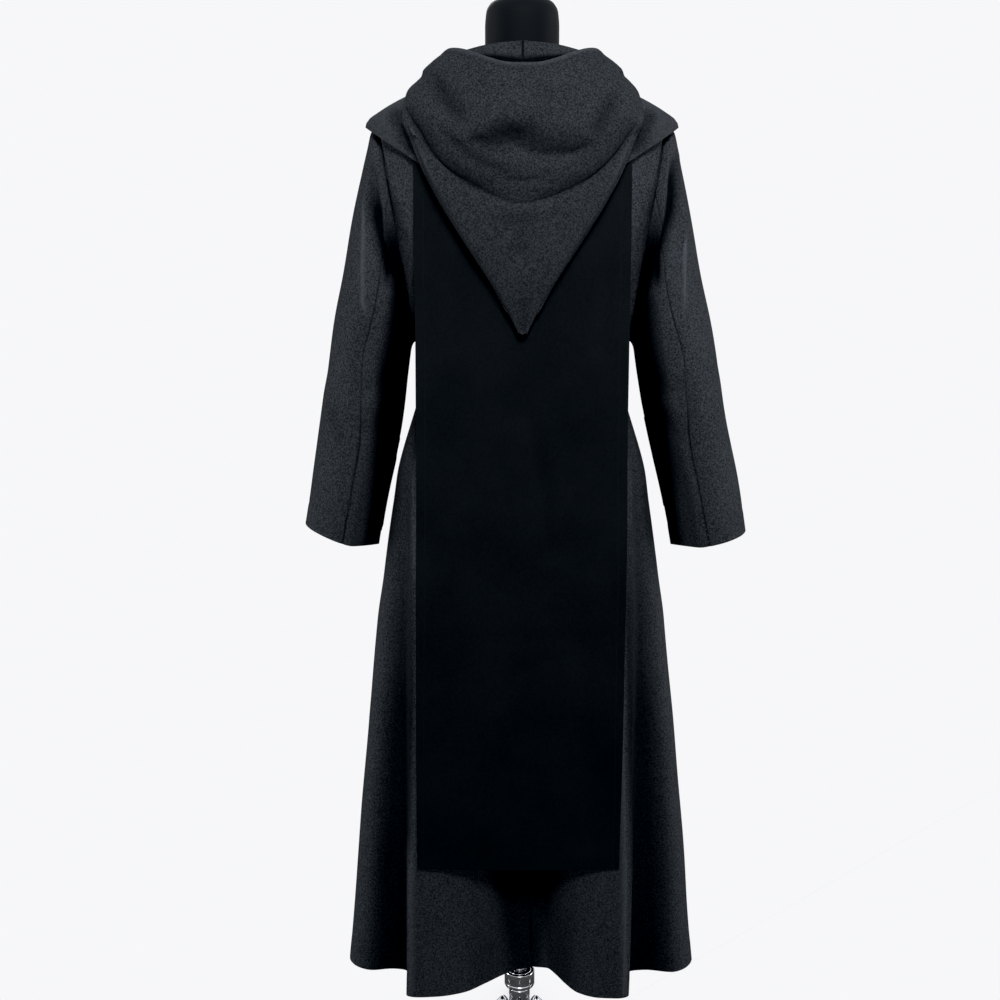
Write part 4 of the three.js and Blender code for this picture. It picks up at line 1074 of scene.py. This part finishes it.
# a last row, flat and a little lower, closes the tip
tip = grid[-1:].copy()
tip[..., :3] = tip[..., :3] * np.array([0.97, 1, 1]) + np.array([0, 0, -0.5])
tip[..., 1] = grid[-1, :, 1].mean()
grid = np.concatenate([grid, tip])
fit(surface("hood_laid_back", grid, HOOD_WOOL, closed=True), "hood")

band_at = np.linspace(0, 6, 44)
for word, way in (("left", 1), ("right", -1)):
    grid = rings(eased(np.arange(len(BAND)), BAND, band_at), way * 180 * edged(64))
    grid = grid[:, ::-1] if way > 0 else grid
    behind = smooth(10, 60, grid[..., 1])
    bob = np.sin(np.radians(np.linspace(0, 900, grid.shape[1])) + way) * smooth(1, 3, band_at)[:, None]
    grid[..., 2] += 0.9 * bob
    # painted shadow along the band just above the hood's rim
    grid = paint_shade(grid, 0.92 * smooth(4.7, 5.3, band_at)[:, None] * behind)
    grid = seamed(grid, "lr", 1.4, 2.4)
    fit(surface(f"hood_neck_band_{word}", grid, HOOD_WOOL), f"hood_band_{word}")


# ---------------------------------------------------------------- form and stand
def closed_solid(name, grid, material, sharp=38.0):
    """A closed grid of points with a fan of faces at each end, its edges sharp past that angle in
    degrees."""
    rows, cols = grid.shape[:2]
    points = np.concatenate([grid.reshape(-1, 3), grid[:1].mean(1), grid[-1:].mean(1)])
    here = np.arange(cols)
    after = (here + 1) % cols
    end = rows * cols
    faces = grid_faces(rows, cols, True)
    faces += np.stack([after, here, np.full(cols, end)], -1).tolist()
    faces += np.stack([here + end - cols, after + end - cols, np.full(cols, end + 1)], -1).tolist()
    piece = meshed(name, points, faces, material)
    piece.data.set_sharp_from_angle(angle=math.radians(sharp))
    return piece


def turned(name, profile, material, count=64, middle=(0, 0)):
    """A turned solid: a profile of (radius, height) carried round an upright axis and closed at both
    ends."""
    profile = np.array(profile, float)
    a = np.linspace(0, 2 * np.pi, count, endpoint=False)
    r, z = profile[:, 0:1], profile[:, 1:2]
    x, y = middle[0] + r * np.cos(a), middle[1] + r * np.sin(a)
    return closed_solid(name, np.stack([x, y, np.broadcast_to(z, x.shape)], -1), material)


form_z = np.concatenate([
    np.linspace(890, 1600, 70), np.linspace(1606, 1700, 30), np.linspace(1706, 1796, 22),
])
half, back, fore = (eased(FORM[:, 0], FORM[:, i], form_z)[:, None] for i in (1, 2, 3))
a = np.linspace(0, 2 * np.pi, 120, endpoint=False)[None, :]
x, y = half * squared(np.cos(a)), np.where(np.sin(a) > 0, back, fore) * squared(np.sin(a))
form = np.stack(np.broadcast_arrays(x, y, form_z[:, None]), -1)
crown = form[-1:] * np.array([0.55, 0.55, 1]) + np.array([0, 0, 2.0])
FORM_PIECE = "dress_form_torso"
fit(closed_solid(FORM_PIECE, np.concatenate([form, crown]), FORM_COVER, 60), "form_torso")

# stand parts on the middle axis: radius and height round each profile
for name, node, profile in (
    ("stand_pole_tube", "stand_pole", [(13, 160.3), (14, 161.3), (14, 888.7), (13, 889.7)]),
    ("stand_cup_turned", "stand_cup", [
        (18, 146), (20, 146.2), (24.5, 148.6), (26, 152), (26, 155), (25.4, 155.8), (25.4, 157), (26, 157.8),
        (26, 175.5), (25.5, 177.2), (24.4, 178), (20.4, 178), (19.4, 177.4), (19, 176.4), (19, 160.4),
        (18.4, 160), (2, 160)]),
    ("stand_hub_turned", "stand_hub", [
        (13, 96), (15, 96), (17.2, 97.2), (18, 99.4), (18, 110), (17.3, 111), (17.3, 112.4), (18, 113.4),
        (18, 142.6), (17.4, 144.6), (16, 145.7), (10, 145.7)]),
):
    fit(turned(name, profile, CHROME), node)

# a leg: distance from the middle and height along its bends, the distance along it at each, radius at its
# ends and between
LEG_PATH = [(24.2, 122), (58, 88), (105, 52), (155, 28), (205, 19), (240, 18)]
LEG_AT = [0, 48, 107, 163, 214, 249]
LEG_END, LEG_RADIUS = 6.8, 8.0
FOOT_REACH = 236
FOOT = [
    (12, 0), (13.4, 0), (15, 1.4), (15, 3.4), (14.6, 3.8), (14.6, 4.6), (15, 5), (15, 8.2), (13.6, 9.7),
    (11, 9.7),
]


def leg(turn):
    """A leg turned round the middle: a circle carried along its path, square to the path's slope."""
    line = eased(LEG_AT, LEG_PATH, np.concatenate([[0], np.linspace(1, 248, 60), [249]]))
    way = np.gradient(line, axis=0)
    way /= np.linalg.norm(way, axis=1, keepdims=True)
    size = np.concatenate([[LEG_END], np.full(60, LEG_RADIUS), [LEG_END]])[:, None]
    t = np.linspace(0, 2 * np.pi, 32, endpoint=False)
    r = line[:, 0:1] - way[:, 1:2] * np.cos(t) * size
    z = line[:, 1:2] + way[:, 0:1] * np.cos(t) * size
    w = np.broadcast_to(-np.sin(t), r.shape) * size
    x, y = r * math.cos(turn) - w * math.sin(turn), r * math.sin(turn) + w * math.cos(turn)
    return np.stack([x, y, z], -1)


for i in range(4):
    turn = i * np.pi / 2
    fit(closed_solid(f"stand_leg_tube_{i + 1}", leg(turn), CHROME, 50), f"stand_leg_{i + 1}")
    middle = (FOOT_REACH * math.cos(turn), FOOT_REACH * math.sin(turn))
    fit(turned(f"stand_foot_pad_{i + 1}", FOOT, RUBBER, 40, middle), f"stand_foot_{i + 1}")


# ---------------------------------------------------------------- floor, light and camera
# colour of the backdrop, and of the floor where it is seen, which reaches this far each way
PALE = (0.930, 0.930, 0.947, 1)
FLOOR_REACH = 400000.0


def floor_finish():
    """A floor as pale as the backdrop where it is seen, with a painted contact shadow from ambient occlusion
    close to what stands on it, and dim in what light it gives back."""
    material, tree, shader = finish("pale studio floor")
    seen = put(tree, "ShaderNodeLightPath").outputs["Is Camera Ray"]
    # painted contact shadow: the floor's glow is dimmed by ambient occlusion near what stands on it
    near = put(tree, "ShaderNodeAmbientOcclusion", Distance=0.16, samples=8).outputs["AO"]
    bright = ranged(tree, near, 0.0, 1.0, 0.55, 1.0)
    wire(tree, shader, Base_Color=blend(tree, seen, (0.14, 0.14, 0.142, 1), (0, 0, 0, 1)),
         Emission_Strength=maths(tree, "MULTIPLY", bright, seen), Emission_Color=PALE, Roughness=1.0,
         Specular_IOR_Level=0.0)
    return material


corners = FLOOR_REACH * np.array([(-1, -1, 0), (1, -1, 0), (1, 1, 0), (-1, 1, 0)])
meshed("studio_floor", corners, [(0, 1, 2, 3)], floor_finish())

world = bpy.data.worlds.new("studio")
bpy.context.scene.world = world
world.use_nodes = True
sky = world.node_tree
rays = put(sky, "ShaderNodeLightPath").outputs
seen = maths(sky, "MAXIMUM", rays["Is Camera Ray"], rays["Is Glossy Ray"])
wire(sky, sky.nodes["Background"], Color=PALE, Strength=ranged(sky, seen, 0.0, 1.0, 0.018, 1.0))


def soft_light(name, place, aim, size, power, spread=180.0):
    """A square area light looking at a point, its beam no wider than the spread in degrees."""
    data = bpy.data.lights.new(name, "AREA")
    data.shape, data.size, data.energy, data.spread = "SQUARE", size, power, math.radians(spread)
    light = placed(name, data)
    light.location = place
    light.visible_camera = False
    d = np.array(aim, float) - np.array(place, float)
    light.rotation_euler = (math.atan2(math.hypot(d[0], d[1]), -d[2]), 0, math.atan2(-d[0], d[1]))


soft_light("key_behind", (-0.2, 2.3, 2.9), (-0.05, 0.1, 1.55), 0.8, 8.8, 56)
soft_light("key_before", (0.2, -2.3, 2.9), (0.05, -0.1, 1.55), 0.8, 8.8, 56)
soft_light("low_behind", (0.0, 1.5, 0.2), (0, 0.1, 0.28), 0.6, 0.4, 60)
soft_light("low_before", (0.0, -1.5, 0.2), (0, -0.1, 0.28), 0.6, 0.4, 60)
soft_light("low_left", (2.6, -0.2, 0.5), (0, 0, 0.5), 0.9, 3, 60)
soft_light("low_right", (-2.6, -0.2, 0.5), (0, 0, 0.5), 0.9, 3, 60)
soft_light("ceiling", (0, 0, 3.5), (0, 0.001, 0), 1.6, 6)
soft_light("side_left", (3.0, 0.0, 2.2), (0, 0, 1.3), 1.2, 12, 90)
soft_light("side_right", (-3.0, 0.0, 2.2), (0, 0, 1.3), 1.2, 14, 90)

camera = placed("camera", bpy.data.cameras.new("camera"))
camera.data.lens = 54
camera.data.sensor_width = 36
camera.location = (0.034, 2.4, 1.5)
camera.rotation_euler = (math.radians(78.5), 0, math.radians(180))
bpy.context.scene.camera = camera
view = bpy.context.scene.view_settings
view.view_transform = "Standard"

# a black level, so that the darkest cloth comes out fully black
view.use_curve_mapping = True
view.curve_mapping.black_level = (0.0036, 0.0030, 0.0026)
view.curve_mapping.update()
